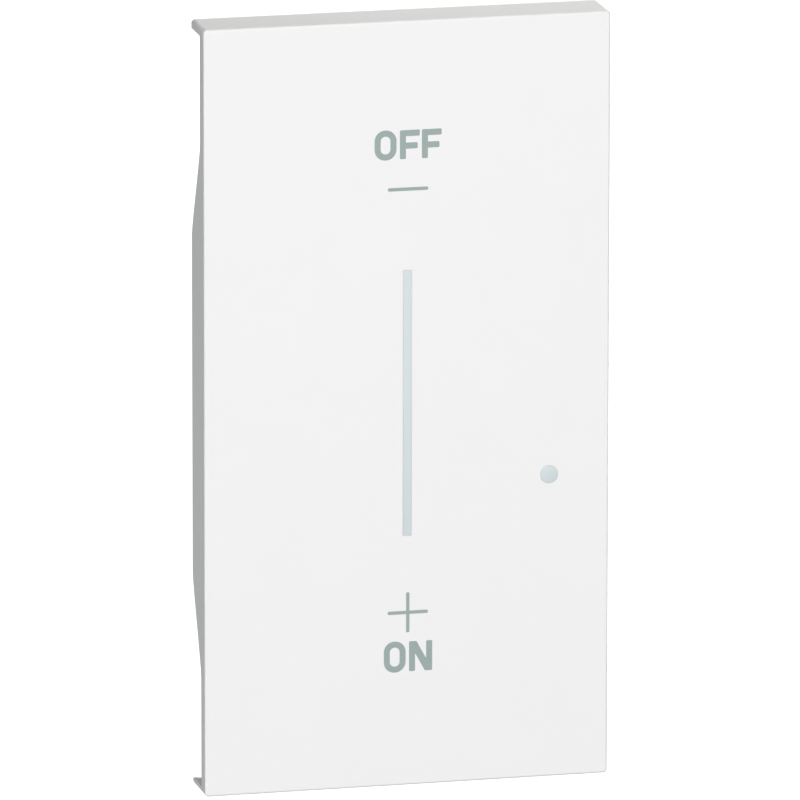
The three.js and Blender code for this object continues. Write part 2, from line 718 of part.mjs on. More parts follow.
function rearHousing() {
  const { height, shoulderWidth, towerWidth, front, shoulderBack, back, wall, rearWall } = HOUSING;
  const inner = (width) => width - 2 * wall;
  const { corner, chamfer } = HOUSING;
  const outside = join(
    slab(shoulderWidth, height, corner, [front, shoulderBack], chamfer / 2),
    slab(towerWidth, height, corner, [shoulderBack - 2 * chamfer, back], chamfer),
  );
  const innerCorner = corner - wall;
  const shoulderFloor = shoulderBack - wall;
  const inside = join(
    slab(inner(shoulderWidth), inner(height), innerCorner, [front - OVERRUN, shoulderFloor]),
    slab(inner(towerWidth), inner(height), innerCorner, [shoulderFloor - ROOT, back - rearWall]),
  );
  const partitions = SIDES.map(([, side]) => block(
    around((side * TERMINAL.pitch) / 2, PARTITION.thickness),
    [PARTITION.front, back - rearWall + ROOT],
    [wall - ROOT - height / 2, PARTITION.top],
  ));
  const catches = ENDS.flatMap(([, end]) =>
    SIDES.map(([, side]) => snapWedge(end, side * SNAP.x)));
  const slits = ENDS.flatMap(([, end]) =>
    SIDES.flatMap(([, side]) => snapSlits(end, side * SNAP.x)));
  const bottomWall = [-height / 2 - OVERRUN, wall + ROOT - height / 2];
  const backWall = [back - rearWall - ROOT, back + OVERRUN];
  const mouths = TERMINALS.map((_, index) =>
    block(around(terminalX(index), MOUTH.width), [MOUTH.from, MOUTH.to], bottomWall));
  const wells = TERMINALS.map((_, index) =>
    rodAlongY(SCREW.headRadius + SCREW_WELL_GAP, backWall, terminalX(index), TERMINAL.z));
  const windows = SIDES.flatMap(([, side]) => {
    const sideWall = around((side * shoulderWidth) / 2, 2 * (wall + ROOT));
    const { from, to, width } = TONGUE_WINDOW;
    return [-TONGUE.z, TONGUE.z].map((z) => block(sideWall, [from, to], around(z, width)));
  });
  const vents = Array.from({ length: VENT.rows }, (_, row) => VENT.firstZ + row * VENT.pitch)
    .flatMap((z) => SIDES.map(([, side]) =>
      block(around(side * VENT.x, VENT.width), backWall, around(z, VENT.height))));
  return cut(
    join(cut(outside, inside), ...partitions, ...catches),
    ...slits, ...mouths, ...wells, ...windows, ...vents,
  );
}

// ---------------------------------------------------------------- assembly

add('front_cover', frontCover(), MATERIAL.coverPlastic);
add('level_light_bar', levelLightBar(), MATERIAL.diffuser);
add('status_lens', statusLens(), MATERIAL.diffuser);
add('rocker_carrier', rockerCarrier(), MATERIAL.framePlastic);
add('mounting_frame', mountingFrame(), MATERIAL.framePlastic);
SIDES.forEach(([name, side]) => add(`${name}_hinge_pin`, hingePin(side), MATERIAL.steel));

ENDS.forEach(([name, end]) => {
  add(`${name}_push_rod`, pushRod(end), MATERIAL.rodPlastic);
  add(`${name}_return_spring`, returnSpring(end), MATERIAL.springSteel);
  add(`${name}_key_switch`, keySwitch(end), MATERIAL.switchPlastic);
  add(`${name}_switch_button`, switchButton(end), MATERIAL.buttonPlastic);
});

add('level_light_guide', levelLightGuide(), MATERIAL.clearAcrylic);
add('status_light_guide', statusLightGuide(), MATERIAL.clearAcrylic);
add('control_board', controlBoard(), MATERIAL.board);
for (let index = 0; index < LEVEL_LIGHTS.count; index += 1) {
  add(`level_led_${index + 1}`, levelLed(index), MATERIAL.lamp);
}
add('status_led', statusLed(), MATERIAL.lamp);
add('microcontroller', microcontroller(), MATERIAL.chipResin);
add('board_link_header', boardLinkHeader(), MATERIAL.switchPlastic);

add('power_board', powerBoard(), MATERIAL.board);
SIDES.forEach(([name, side]) =>
  add(`${name}_power_transistor`, powerTransistor(side), MATERIAL.chipResin));
add('thermal_pad', thermalPad(), MATERIAL.padRubber);
add('heat_sink', heatSink(), MATERIAL.aluminium);
add('choke_core', chokeCore(), MATERIAL.ferrite);
add('choke_winding', chokeWinding(), MATERIAL.copper);
add('film_capacitor', filmCapacitor(), MATERIAL.filmCase);
add('reservoir_capacitor', reservoirCapacitor(), MATERIAL.canSleeve);
add('thermal_fuse', thermalFuse(), MATERIAL.fuseBody);
add('bridge_rectifier', bridgeRectifier(), MATERIAL.chipResin);

TERMINALS.forEach((name, index) => {
  add(`${name}_terminal_strip`, terminalStrip(index), MATERIAL.brass);
  add(`${name}_terminal_cage`, terminalCage(index), MATERIAL.steel);
  add(`${name}_terminal_screw`, terminalScrew(index), MATERIAL.steel);
});
add('rear_housing', rearHousing(), MATERIAL.housingPlastic);

export default part;
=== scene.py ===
"""Looks of the flush dimmer insert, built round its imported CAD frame.

The white cover, its translucent inlays, the printed legends and the visible mouldings are modelled
here with their real edge radii; the other CAD nodes stay, with softened edges. Shapes are built
in millimetres, in the frame's own axes (+X right, +Z up, front towards -Y), and mesh_object turns
them into metres. Texture scales, light sizes and the distances of lights and camera are in metres.
"""

import math

import bmesh
import bpy
from mathutils import Matrix, Vector

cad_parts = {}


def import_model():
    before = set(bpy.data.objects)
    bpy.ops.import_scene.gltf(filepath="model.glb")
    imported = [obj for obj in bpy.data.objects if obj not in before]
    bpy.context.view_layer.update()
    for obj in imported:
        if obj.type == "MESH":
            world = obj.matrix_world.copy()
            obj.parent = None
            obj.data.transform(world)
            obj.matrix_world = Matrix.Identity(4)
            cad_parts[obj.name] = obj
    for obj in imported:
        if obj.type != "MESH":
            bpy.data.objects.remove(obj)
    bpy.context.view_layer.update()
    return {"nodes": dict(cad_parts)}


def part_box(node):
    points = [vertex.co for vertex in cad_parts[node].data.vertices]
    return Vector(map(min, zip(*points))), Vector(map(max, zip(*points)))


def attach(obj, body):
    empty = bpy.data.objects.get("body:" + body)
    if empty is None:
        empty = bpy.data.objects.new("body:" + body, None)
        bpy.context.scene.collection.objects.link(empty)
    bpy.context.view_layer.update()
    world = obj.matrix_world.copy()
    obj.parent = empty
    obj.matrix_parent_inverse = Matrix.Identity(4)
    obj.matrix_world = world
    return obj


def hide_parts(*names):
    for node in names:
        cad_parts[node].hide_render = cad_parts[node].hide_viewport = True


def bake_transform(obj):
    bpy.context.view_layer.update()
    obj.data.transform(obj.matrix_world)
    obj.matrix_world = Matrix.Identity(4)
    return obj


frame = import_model()

MM = 0.001
SHARP_ANGLE = 32
SOFT_EDGE = 0.12
PLUS, MINUS = "UNION", "DIFFERENCE"
NODES = frame["nodes"]


def box_mm(node):
    """A CAD node's lowest and highest corners, in millimetres."""
    low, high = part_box(node)
    return low / MM, high / MM


# ---------- mesh helpers


def mesh_object(name, bm):
    """A linked object made from a bmesh that is in millimetres."""
    bmesh.ops.scale(bm, vec=(MM, MM, MM), verts=bm.verts)
    mesh = bpy.data.meshes.new(name)
    bm.to_mesh(mesh)
    bm.free()
    obj = bpy.data.objects.new(name, mesh)
    bpy.context.scene.collection.objects.link(obj)
    return obj


def smooth(obj):
    """Smooth shading inside the rounded edges; large flat faces keep flat normals."""
    obj.data.shade_smooth()
    obj.data.set_sharp_from_angle(angle=math.radians(SHARP_ANGLE))
    weighted = obj.modifiers.new("weighted_normals", "WEIGHTED_NORMAL")
    weighted.keep_sharp = True
    weighted.weight = 80


def loft(rings):
    """A closed bmesh through rings of equally many points; the end rings are capped."""
    bm = bmesh.new()
    loops = [[bm.verts.new(point) for point in ring] for ring in rings]
    count = len(loops[0])
    for near, far in zip(loops, loops[1:]):
        for i in range(count):
            j = (i + 1) % count
            bm.faces.new((near[i], near[j], far[j], far[i]))
    bm.faces.new(loops[0])
    bm.faces.new(loops[-1][::-1])
    return clean(bm)


def clean(bm):
    """Merges coincident points and turns every face outwards."""
    bmesh.ops.remove_doubles(bm, verts=bm.verts, dist=1e-4)
    bmesh.ops.dissolve_degenerate(bm, edges=bm.edges, dist=1e-5)
    bmesh.ops.recalc_face_normals(bm, faces=bm.faces)
    return bm


def arc(centre, radius, start, end, steps):
    """Points on an arc, and their outward directions, angles in degrees."""
    made = []
    for step in range(steps + 1):
        angle = math.radians(start + (end - start) * step / steps)
        along = Vector((math.cos(angle), math.sin(angle)))
        made.append((Vector(centre) + radius * along, along))
    return made


def rounded_polygon(points, radius, inner=None, steps=4):
    """(point, outward direction) round an anticlockwise polygon with rounded corners.

    Corners that turn inwards have the inner radius, if it is given.
    """
    points = [Vector(point) for point in points]
    made = []
    for i, corner in enumerate(points):
        before = (corner - points[i - 1]).normalized()
        after = (points[(i + 1) % len(points)] - corner).normalized()
        turn = math.atan2(before.cross(after), before.dot(after))
        side = math.copysign(1, turn)
        bend = radius if turn > 0 or inner is None else inner
        normal = Vector((before.y, -before.x))
        centre = corner - before * bend * math.tan(abs(turn) / 2) - normal * bend * side
        for step in range(steps + 1):
            out = normal.copy()
            out.rotate(Matrix.Rotation(turn * step / steps, 2))
            made.append((centre + out * bend * side, out))
    return made


def rectangle(x_span, z_span):
    """The corners of a rectangle, anticlockwise."""
    (x0, x1), (z0, z1) = x_span, z_span
    return [(x1, z0), (x1, z1), (x0, z1), (x0, z0)]


def rounded_outline(x_span, z_span, radius, steps=4):
    """(point, outward direction) round a rectangle with rounded corners, in the X-Z plane."""
    return rounded_polygon(rectangle(x_span, z_span), radius, steps=steps)


def circle(centre, radius, sides=48):
    """(point, outward direction) round a circle in the X-Z plane."""
    return arc(centre, radius, 0, 360 * (sides - 1) / sides, sides - 1)


def quarter_turn(steps=3):
    """Angles from nothing to a right angle, in radians."""
    return [math.pi / 2 * step / steps for step in range(steps + 1)]


def edge_profile(y0, y1, front, back, steps=3):
    """(inset, y) down the side of a plate whose front and back edges have these radii."""
    quarter = quarter_turn(steps)
    profile = [(front * (1 - math.sin(a)), y0 + front * (1 - math.cos(a))) for a in quarter]
    profile += [(back * (1 - math.sin(a)), y1 - back * (1 - math.cos(a))) for a in quarter[::-1]]
    return profile


def stacked(outline, profile):
    """A solid through copies of an X-Z outline, each moved inwards and set at a depth."""
    rings = []
    for inset, y in profile:
        rings.append([(p.x - inset * out.x, y, p.y - inset * out.y) for p, out in outline])
    return loft(rings)


def plate(outline, y0, y1, front=0.15, back=0.15, steps=3):
    """A solid between two depths with rounded edges, from an X-Z outline."""
    return stacked(outline, edge_profile(y0, y1, front, back, steps))


def block(x_span, y_span, z_span, radius=0.12):
    """A box with all its edges rounded."""
    return plate(rounded_outline(x_span, z_span, radius, 3), *y_span, radius, radius)


def hole(outline, y0, y1, chamfer=0.08):
    """A cutter through a wall between two depths, which breaks the edges at both of its mouths."""
    run = 0.1
    reach = chamfer + run
    front = [(-reach, y0 - run), (0, y0 + chamfer)]
    back = [(0, y1 - chamfer), (-reach, y1 + run)]
    return stacked(outline, front + back)


def facing(bm, axis):
    """Swaps two axes of a solid made along Y, so that it lies along X or Z instead."""
    order = {"X": [(0, 1, 0), (1, 0, 0), (0, 0, 1)], "Z": [(1, 0, 0), (0, 0, 1), (0, 1, 0)]}[axis]
    bmesh.ops.transform(bm, matrix=Matrix(order).to_4x4(), verts=bm.verts)
    bmesh.ops.reverse_faces(bm, faces=bm.faces)
    return bm


def turned(profile, centre, sides=48):
    """A solid of revolution about an axis along Y. The profile is (radius, y) from axis to axis."""
    x, z = centre
    angles = [2 * math.pi * side / sides for side in range(sides)]
    bm = bmesh.new()
    loops = []
    for radius, y in profile:
        if radius == 0:
            loops.append([bm.verts.new((x, y, z))] * sides)
        else:
            ring = [(x + radius * math.cos(a), y, z + radius * math.sin(a)) for a in angles]
            loops.append([bm.verts.new(point) for point in ring])
    for near, far in zip(loops, loops[1:]):
        for i in range(sides):
            j = (i + 1) % sides
            corners = list(dict.fromkeys((near[i], near[j], far[j], far[i])))
            if len(corners) > 2:
                bm.faces.new(corners)
    return clean(bm)


def around(centre, width):
    """The span of this width about a centre."""
    return (centre - width / 2, centre + width / 2)


def centred(size, radius, at=(0, 0), steps=4):
    """(point, outward direction) round a rounded rectangle of this size about a point."""
    return rounded_outline(around(at[0], size[0]), around(at[1], size[1]), radius, steps)


def on_side(side, span):
    """A span given for the right-hand or upper side, mirrored when side is -1."""
    return tuple(sorted(side * value for value in span))


def turned_edge(radius, y, edge, sign):
    """(radius, y) points round the outer edge of a turned piece; sign 1 goes from its front face."""
    points = []
    for a in quarter_turn():
        points.append((radius - edge * (1 - math.sin(a)), y + sign * edge * (1 - math.cos(a))))
    return points if sign > 0 else points[::-1]


def combine(name, base, *operations):
    """One solid from bmeshes; each operation is (PLUS or MINUS, a list of solids), in order."""
    body = mesh_object(name, base)
    helpers = []
    for operation, solids in operations:
        for solid in solids:
            helper = mesh_object("helper", solid)
            helpers.append(helper)
            modifier = body.modifiers.new(operation, "BOOLEAN")
            modifier.operation = operation
            modifier.solver = "MANIFOLD"
            modifier.object = helper
    graph = bpy.context.evaluated_depsgraph_get()
    mesh = bpy.data.meshes.new_from_object(body.evaluated_get(graph))
    mesh.materials.clear()
    body.modifiers.clear()
    body.data = mesh
    for helper in helpers:
        bpy.data.objects.remove(helper)
    return body


# ---------- front cover

COVER_LOW, COVER_HIGH = box_mm("front_cover")
FACE_Y = COVER_LOW.y
COVER_DEPTH = COVER_HIGH.y - COVER_LOW.y
FACE = 1.5
INSIDE_Y = FACE_Y + FACE
SIDE_WALL = 0.9
TOP_WALL = 0.95
BOTTOM_WALL = 0.7
CORNER = 0.42
FRONT_EDGE = 0.27
BACK_EDGE = 0.12
INNER_CORNER = 0.3
RIM_DEPTH = 2.0
RIM_FROM = 29.6
BULGE_TO = 18.6
EASING = 1.5
RIM_FOOT = 0.2
CORNER_STEPS = 8
# The drop from an end wall's depth to the rim, about the end wall's inner face.
DROP_START = 0.1
DROP_END = 0.03
DROP_STEPS = 6
DROP_SHARE = 0.1
# How far a piece that is joined on reaches into the one that carries it.
OVERLAP = 0.2
# Ribs and hooks at the upper right, which are mirrored to the other sides.
COVER_RIB = 0.8
COVER_RIB_REACH = 1.6
CROSS_RIB_LENGTH = 39
CROSS_RIB_Z = 33
UPRIGHT_RIB_AT = (12, 35.2)
UPRIGHT_RIB_LENGTH = 13
HOOK_X = (19.3, 20.2)
HOOK_Z = 20
HOOK_WIDTH = 4
BARB_X = (17.9, 19.75)
BARB_WIDTH = 3.9
BARB_START = 0.3
BARB_END = 1.0


def s_curve(steps=22):
    """(height, depth) from the shallow rim to the deep middle of a side wall."""
    points = [
        Vector((RIM_FROM, RIM_DEPTH)),
        Vector((RIM_FROM - EASING, RIM_DEPTH)),
        Vector((BULGE_TO + EASING, COVER_DEPTH)),
        Vector((BULGE_TO, COVER_DEPTH)),
    ]
    made = []
    for step in range(steps + 1):
        t = step / steps
        weights = ((1 - t) ** 3, 3 * t * (1 - t) ** 2, 3 * t * t * (1 - t), t ** 3)
        made.append(sum((w * p for w, p in zip(weights, points)), Vector((0, 0))))
    return made


def quarter_wall(side, end):
    """Wall sections from the middle of an end wall, round its corner, to mid-height of a side wall.

    Each is (outer point, outward direction, inner point, inner outward direction, depth). The side
    wall drops steeply from the end wall's full depth to the shallow rim.
    """
    half_width, half_height = COVER_HIGH.x, COVER_HIGH.z
    inner_x = half_width - SIDE_WALL
    inner_z = half_height - (TOP_WALL if end > 0 else BOTTOM_WALL)
    up, out = Vector((0, 1)), Vector((1, 0))
    diagonal = (up + out).normalized()
    start = Vector((inner_x - INNER_CORNER, inner_z))
    stop = Vector((inner_x, inner_z - INNER_CORNER))
    sections = [(Vector((0, half_height)), up, Vector((0, inner_z)), up, COVER_DEPTH)]
    for point, along in arc((half_width - CORNER, half_height - CORNER), CORNER, 90, 0, CORNER_STEPS):
        sections.append((point, along, start, up, COVER_DEPTH))
    step_z = inner_z - DROP_END
    sections.append((Vector((half_width, inner_z + DROP_START)), out, start, up, COVER_DEPTH))
    sections.append((Vector((half_width, inner_z)), out, start, up, COVER_DEPTH - BACK_EDGE))
    foot = start.lerp(stop, DROP_SHARE)
    sections.append((Vector((half_width, step_z)), out, foot, diagonal, RIM_DEPTH + RIM_FOOT))
    for step in range(1, DROP_STEPS + 1):
        angle = math.pi / 2 * step / DROP_STEPS
        outer = Vector((half_width, step_z - RIM_FOOT * (1 - math.cos(angle))))
        inner = start.lerp(stop, DROP_SHARE + (1 - DROP_SHARE) * step / DROP_STEPS)
        direction = diagonal if step < DROP_STEPS else out
        sections.append((outer, out, inner, direction, RIM_DEPTH + RIM_FOOT * (1 - math.sin(angle))))
    for height, depth in s_curve():
        sections.append((Vector((half_width, height)), out, Vector((inner_x, height)), out, depth))
    sections.append((Vector((half_width, 0)), out, Vector((inner_x, 0)), out, COVER_DEPTH))
    flip = Vector((side, end))
    return [(a * flip, b * flip, c * flip, d * flip, depth) for a, b, c, d, depth in sections]


def wall_section(section, steps=5):
    """One wall section as 3-D points, from the front face over the wall to the inner face."""
    outer, outward, inner, inner_out, depth = section
    quarter = quarter_turn(steps)
    coarse = quarter[::2] + quarter[-1:]
    points = []

    def at(base, direction, shift, y):
        spot = base + direction * shift
        points.append((spot.x, FACE_Y + y, spot.y))

    for a in quarter:
        at(outer, outward, -FRONT_EDGE * (1 - math.sin(a)), FRONT_EDGE * (1 - math.cos(a)))
    for a in coarse:
        at(outer, outward, -BACK_EDGE * (1 - math.cos(a)), depth - BACK_EDGE * (1 - math.sin(a)))
    for a in coarse:
        at(inner, inner_out, BACK_EDGE * (1 - math.sin(a)), depth - BACK_EDGE * (1 - math.cos(a)))
    for a in quarter:
        fall = INNER_CORNER * (1 - math.cos(a))
        at(inner, inner_out, -fall, FACE + INNER_CORNER * (1 - math.sin(a)))
    return points


def cover_pan():
    """The cover's face and walls, swept once round its outline."""
    runs = [quarter_wall(1, 1), quarter_wall(1, -1)[::-1], quarter_wall(-1, -1), quarter_wall(-1, 1)[::-1]]
    columns = [wall_section(section) for run in runs for section in run[:-1]]
    return loft([list(ring) for ring in zip(*columns)])


def cover_hook(side, end):
    """A snap hook of the cover, with its barb behind the carrier's edge."""
    z = HOOK_Z * end
    barb_y = (CARRIER_BACK + BARB_START, CARRIER_BACK + BARB_END)
    strip = block(on_side(side, HOOK_X), (INSIDE_Y - OVERLAP, barb_y[1]), around(z, HOOK_WIDTH))
    barb = block(on_side(side, BARB_X), barb_y, around(z, BARB_WIDTH))
    return [strip, barb]


def front_cover():
    """The pan with its ribs, its snap hooks and the openings for the inlays."""
    rib_y = (INSIDE_Y - OVERLAP, INSIDE_Y + COVER_RIB_REACH)
    upright_x, upright_z = UPRIGHT_RIB_AT
    added = []
    for end in (1, -1):
        added.append(block(around(0, CROSS_RIB_LENGTH), rib_y, around(CROSS_RIB_Z * end, COVER_RIB)))
        for side in (1, -1):
            upright_span = around(upright_z * end, UPRIGHT_RIB_LENGTH)
            added.append(block(around(upright_x * side, COVER_RIB), rib_y, upright_span))
            added += cover_hook(side, end)
    wall = (FACE_Y, INSIDE_Y)
    slot = centred((BAR_WIDTH + INLAY_GAP, BAR_HEIGHT + INLAY_GAP), 0.08, (0, BAR_Z))
    round_hole = circle(LENS_AT, LENS_RADIUS + INLAY_GAP / 2, 64)
    cuts = [hole(slot, *wall, INLAY_EDGE), hole(round_hole, *wall, INLAY_EDGE)]
    return combine("front_cover_shell", cover_pan(), (PLUS, added), (MINUS, cuts))


# ---------- translucent inlays

BAR_WIDTH = 0.95
BAR_HEIGHT = 29.5
BAR_Z = 0.23
LENS_RADIUS = 0.97
LENS_AT = (15.84, -8.57)
INLAY_GAP = 0.03
INLAY_EDGE = 0.02
BAR_LOW, BAR_HIGH = box_mm("level_light_bar")
LENS_LOW, LENS_HIGH = box_mm("status_lens")
LENS_MIDDLE = ((LENS_LOW.x + LENS_HIGH.x) / 2, (LENS_LOW.z + LENS_HIGH.z) / 2)
INLAY_FLANGE = 0.8
FLANGE_EDGE = 0.1


def light_bar():
    """A narrow light pipe flush with the face, on a wider flange behind it."""
    face = centred((BAR_WIDTH, BAR_HEIGHT), 0.06, (0, BAR_Z))
    blade = plate(face, FACE_Y, BAR_HIGH.y - OVERLAP, INLAY_EDGE, INLAY_EDGE)
    depth = (BAR_HIGH.y - INLAY_FLANGE, BAR_HIGH.y)
    foot = block((BAR_LOW.x, BAR_HIGH.x), depth, (BAR_LOW.z, BAR_HIGH.z))
    return combine("level_light_diffuser", blade, (PLUS, [foot]))


def status_window():
    """A round light pipe flush with the face, on a wider flange behind it."""
    stem_back = LENS_HIGH.y - OVERLAP
    stem = [(0, FACE_Y)] + turned_edge(LENS_RADIUS, FACE_Y, INLAY_EDGE, 1)
    stem += [(LENS_RADIUS, stem_back), (0, stem_back)]
    outer = (LENS_HIGH.x - LENS_LOW.x) / 2
    front = LENS_HIGH.y - INLAY_FLANGE
    foot = [(0, front)] + turned_edge(outer, front, FLANGE_EDGE, 1)
    foot += turned_edge(outer, LENS_HIGH.y, FLANGE_EDGE, -1) + [(0, LENS_HIGH.y)]
    return combine("status_window", turned(stem, LENS_AT, 64), (PLUS, [turned(foot, LENS_MIDDLE, 64)]))


# ---------- printed legends

INK = 0.012
INK_ROOT = 0.004
STROKE = 0.67
PEN = 0.13
INNER_PEN = 0.03
OVERSHOOT = 0.06
CAPS_OFF = (27.29, 30.47)
CAPS_ON = (-29.71, -26.36)
MINUS_AT = (0.04, 23.96)
PLUS_AT = (0.07, -23.1)
ARM = 2.24
THIN_STROKE = 0.37


def loop(samples):
    """The bare points of an outline."""
    return [tuple(point) for point, _ in samples]


def printed(name, shapes):
    """Thin printed shapes, each an outer loop of (x, z) points and, if it has a hole, an inner one."""
    bm = bmesh.new()
    for loops in shapes:
        sides = []
        for y in (FACE_Y - INK, FACE_Y + INK_ROOT):
            rings = [[bm.verts.new((x, y, z)) for x, z in points] for points in loops]
            edges = [bm.edges.new(pair) for ring in rings for pair in zip(ring, ring[1:] + ring[:1])]
            bmesh.ops.triangle_fill(bm, use_beauty=True, edges=edges)
            sides.append(rings)
        for near, far in zip(*sides):
            for i in range(len(near)):
                bm.faces.new((near[i - 1], near[i], far[i], far[i - 1]))
    bmesh.ops.recalc_face_normals(bm, faces=bm.faces)
    return mesh_object(name, bm)


def letter_o(left, right, caps):
    """An O that stands a little beyond the height of the other capitals."""
    radius = (right - left) / 2
    z_span = (caps[0] - OVERSHOOT, caps[1] + OVERSHOOT)
    inner_x = (left + STROKE, right - STROKE)
    inner_z = (z_span[0] + STROKE, z_span[1] - STROKE)
    outer = rounded_outline((left, right), z_span, radius * 0.97, 10)
    inner = rounded_outline(inner_x, inner_z, (radius - STROKE) * 0.97, 10)
    return [loop(outer), loop(inner)]


def letter_f(left, right, caps):
    """An F whose middle arm is a little shorter than the top one."""
    bottom, top = caps
    middle = top - 1.38
    stem = left + STROKE
    short = right - 0.24
    corners = [
        (left, bottom),
        (stem, bottom),
        (stem, middle - STROKE),
        (short, middle - STROKE),
        (short, middle),
        (stem, middle),
        (stem, top - STROKE),
        (right, top - STROKE),
        (right, top),
        (left, top),
    ]
    return [loop(rounded_polygon(corners, PEN, inner=INNER_PEN))]


def letter_n(left, right, caps):
    """An N whose slant meets each upright a little way along it."""
    bottom, top = caps
    slant = 0.82
    drop = 1.35
    corners = [
        (left, bottom),
        (left + STROKE, bottom),
        (left + STROKE, top - drop),
        (right - slant, bottom),
        (right, bottom),
        (right, top),
        (right - STROKE, top),
        (right - STROKE, bottom + drop),
        (left + slant, top),
        (left, top),
    ]
    return [loop(rounded_polygon(corners, PEN, inner=INNER_PEN))]


def minus_sign():
    """A thin stroke with round ends."""
    return [loop(centred((2 * ARM, THIN_STROKE), 0.17, MINUS_AT))]


def plus_sign():
    """Two thin strokes with round ends, crossed, as a quadrant's corners turned four times."""
    half = THIN_STROKE / 2
    quadrant = [(half, -ARM), (half, -half), (ARM, -half)]
    corners = []
    for turn in range(4):
        rotation = Matrix.Rotation(turn * math.pi / 2, 2)
        corners += [rotation @ Vector(point) for point in quadrant]
    shifted = [Vector(PLUS_AT) + corner for corner in corners]
    return [loop(rounded_polygon(shifted, 0.15, inner=INNER_PEN))]


def legends():
    """The four printed words and signs, from the top of the face to the bottom."""
    return [
        printed("legend_off", [
            letter_o(-3.67, -1.25, CAPS_OFF),
            letter_f(-0.87, 1.33, CAPS_OFF),
            letter_f(1.56, 3.75, CAPS_OFF),
        ]),
        printed("legend_minus", [minus_sign()]),
        printed("legend_plus", [plus_sign()]),
        printed("legend_on", [letter_o(-2.6, -0.17, CAPS_ON), letter_n(0.22, 2.8, CAPS_ON)]),
    ]


# ---------- carrier, frame and hinge

CARRIER_LOW, CARRIER_HIGH = box_mm("rocker_carrier")
CARRIER_FRONT = CARRIER_LOW.y
CARRIER_BACK = CARRIER_FRONT + 1.4
CARRIER_SLOT = (3.8, 32.6)
CARRIER_LENS_HOLE = 2.0
CARRIER_RIB = 0.9
CARRIER_RIB_REACH = 1
CARRIER_UPRIGHT_X = 9
CARRIER_UPRIGHT_LENGTH = 50
CARRIER_CROSS_Z = 25.5
CARRIER_CROSS_LENGTH = 32
CARRIER_OPENING = (5, 8)
CARRIER_OPENING_AT = (13.6, 18)
CARRIER_LUG_X = (17, 18.4)
CARRIER_LUG_RADIUS = 1.95
HINGE_Y = -4.2
PIN_RADIUS = 0.9
BORE_REACH = 22
LUG_FOOT = 3.2
ROD_Z = 18.3
FLANGE_SIZE = (40, 58)
FLANGE_FRONT = -1.6
FLANGE_RIM = -2.4
RIM_WALL = 1
RECESS = 0.3
RECESS_SIZE = (37.8, 45.4)
FRAME_SLOT = (2.6, 30.4)
FRAME_LENS_HOLE = 1.35
BOSS_RADIUS = 2.2
BOSS_FRONT = -4.2
ROD_BORE = 1.52
NOTCH_WIDTH = 8
NOTCH_DEPTH = 1.4
FRAME_LUG_X = (14.4, 16.4)
FRAME_LUG_RADIUS = 1.7
TONGUE_Z = 15.5
TONGUE_WIDTH = 5


def lug(foot_y, end_radius, x_span):
    """A hinge lug: a foot on a plate that narrows to a round end about the pin."""
    forward = int(math.copysign(1, HINGE_Y - foot_y))
    tip = [(HINGE_Y + forward * p.x, p.y) for p, _ in arc((0, 0), end_radius, -90, 90, 12)]
    corners = [(foot_y, -LUG_FOOT)] + tip + [(foot_y, LUG_FOOT)]
    outline = rounded_polygon(corners[::forward], 0.05, steps=1)
    return facing(plate(outline, *x_span, 0.1, 0.1, 2), "X")


def pin_bore(fit):
    """A cutter along both hinge pins, wider than they are by this much all round."""
    return facing(hole(circle((HINGE_Y, 0), PIN_RADIUS + fit, 40), -BORE_REACH, BORE_REACH), "X")


def rocker_carrier():
    """The plate behind the cover, with ribs, lightening openings and its two hinge lugs."""
    outline = rounded_outline((CARRIER_LOW.x, CARRIER_HIGH.x), (CARRIER_LOW.z, CARRIER_HIGH.z), 2, 6)
    base = plate(outline, CARRIER_FRONT, CARRIER_BACK)
    root = CARRIER_BACK - OVERLAP
    rib_y = (root, CARRIER_BACK + CARRIER_RIB_REACH)
    wall = (CARRIER_FRONT, CARRIER_BACK)
    lens_hole = circle(LENS_MIDDLE, CARRIER_LENS_HOLE)
    added = []
    cuts = [hole(centred(CARRIER_SLOT, 0.3), *wall), hole(lens_hole, *wall), pin_bore(0.08)]
    x, z = CARRIER_OPENING_AT
    for side in (1, -1):
        upright_x = around(CARRIER_UPRIGHT_X * side, CARRIER_RIB)
        added.append(block(upright_x, rib_y, around(0, CARRIER_UPRIGHT_LENGTH)))
        added.append(lug(root, CARRIER_LUG_RADIUS, on_side(side, CARRIER_LUG_X)))
        for end in (1, -1):
            cuts.append(hole(centred(CARRIER_OPENING, 0.5, (x * side, z * end)), *wall))
    for end in (1, -1):
        cross_z = around(CARRIER_CROSS_Z * end, CARRIER_RIB)
        added.append(block(around(0, CARRIER_CROSS_LENGTH), rib_y, cross_z))
    return combine("rocker_carrier_body", base, (PLUS, added), (MINUS, cuts))


def frame_tongue(side, z):
    """A snap tongue behind the flange, with its barb towards the housing's side wall."""
    inner, outer, barb = 16.3, 17.2, 18.0
    root, catch, tip = -0.5, 2.1, 3.1
    corners = [(inner, root), (outer, root), (outer, catch), (barb, catch), (outer, tip), (inner, tip)]
    outline = rounded_polygon(corners, 0.09, inner=0.03, steps=2)
    bm = plate(outline, *around(z, TONGUE_WIDTH), 0.08, 0.08, 2)
    order = Matrix(((side, 0, 0), (0, 0, 1), (0, 1, 0))).to_4x4()
    bmesh.ops.transform(bm, matrix=order, verts=bm.verts)
    return clean(bm)


def frame_hollows():
    """The tray inside the flange's front rim, and the recess behind it for the housing's rim."""
    width, height = FLANGE_SIZE
    tray = centred((width - 2 * RIM_WALL, height - 2 * RIM_WALL), 0.6)
    tray_mouth = [(-0.3, FLANGE_RIM - 0.2), (-0.1, FLANGE_RIM), (0, FLANGE_RIM + 0.1)]
    recess = centred(RECESS_SIZE, 2.2, steps=6)
    recess_mouth = [(0, -0.08), (-0.1, 0.02), (-0.2, 0.12)]
    return [
        stacked(tray, tray_mouth + [(0, FLANGE_FRONT)]),
        stacked(recess, [(0, -RECESS)] + recess_mouth),
    ]


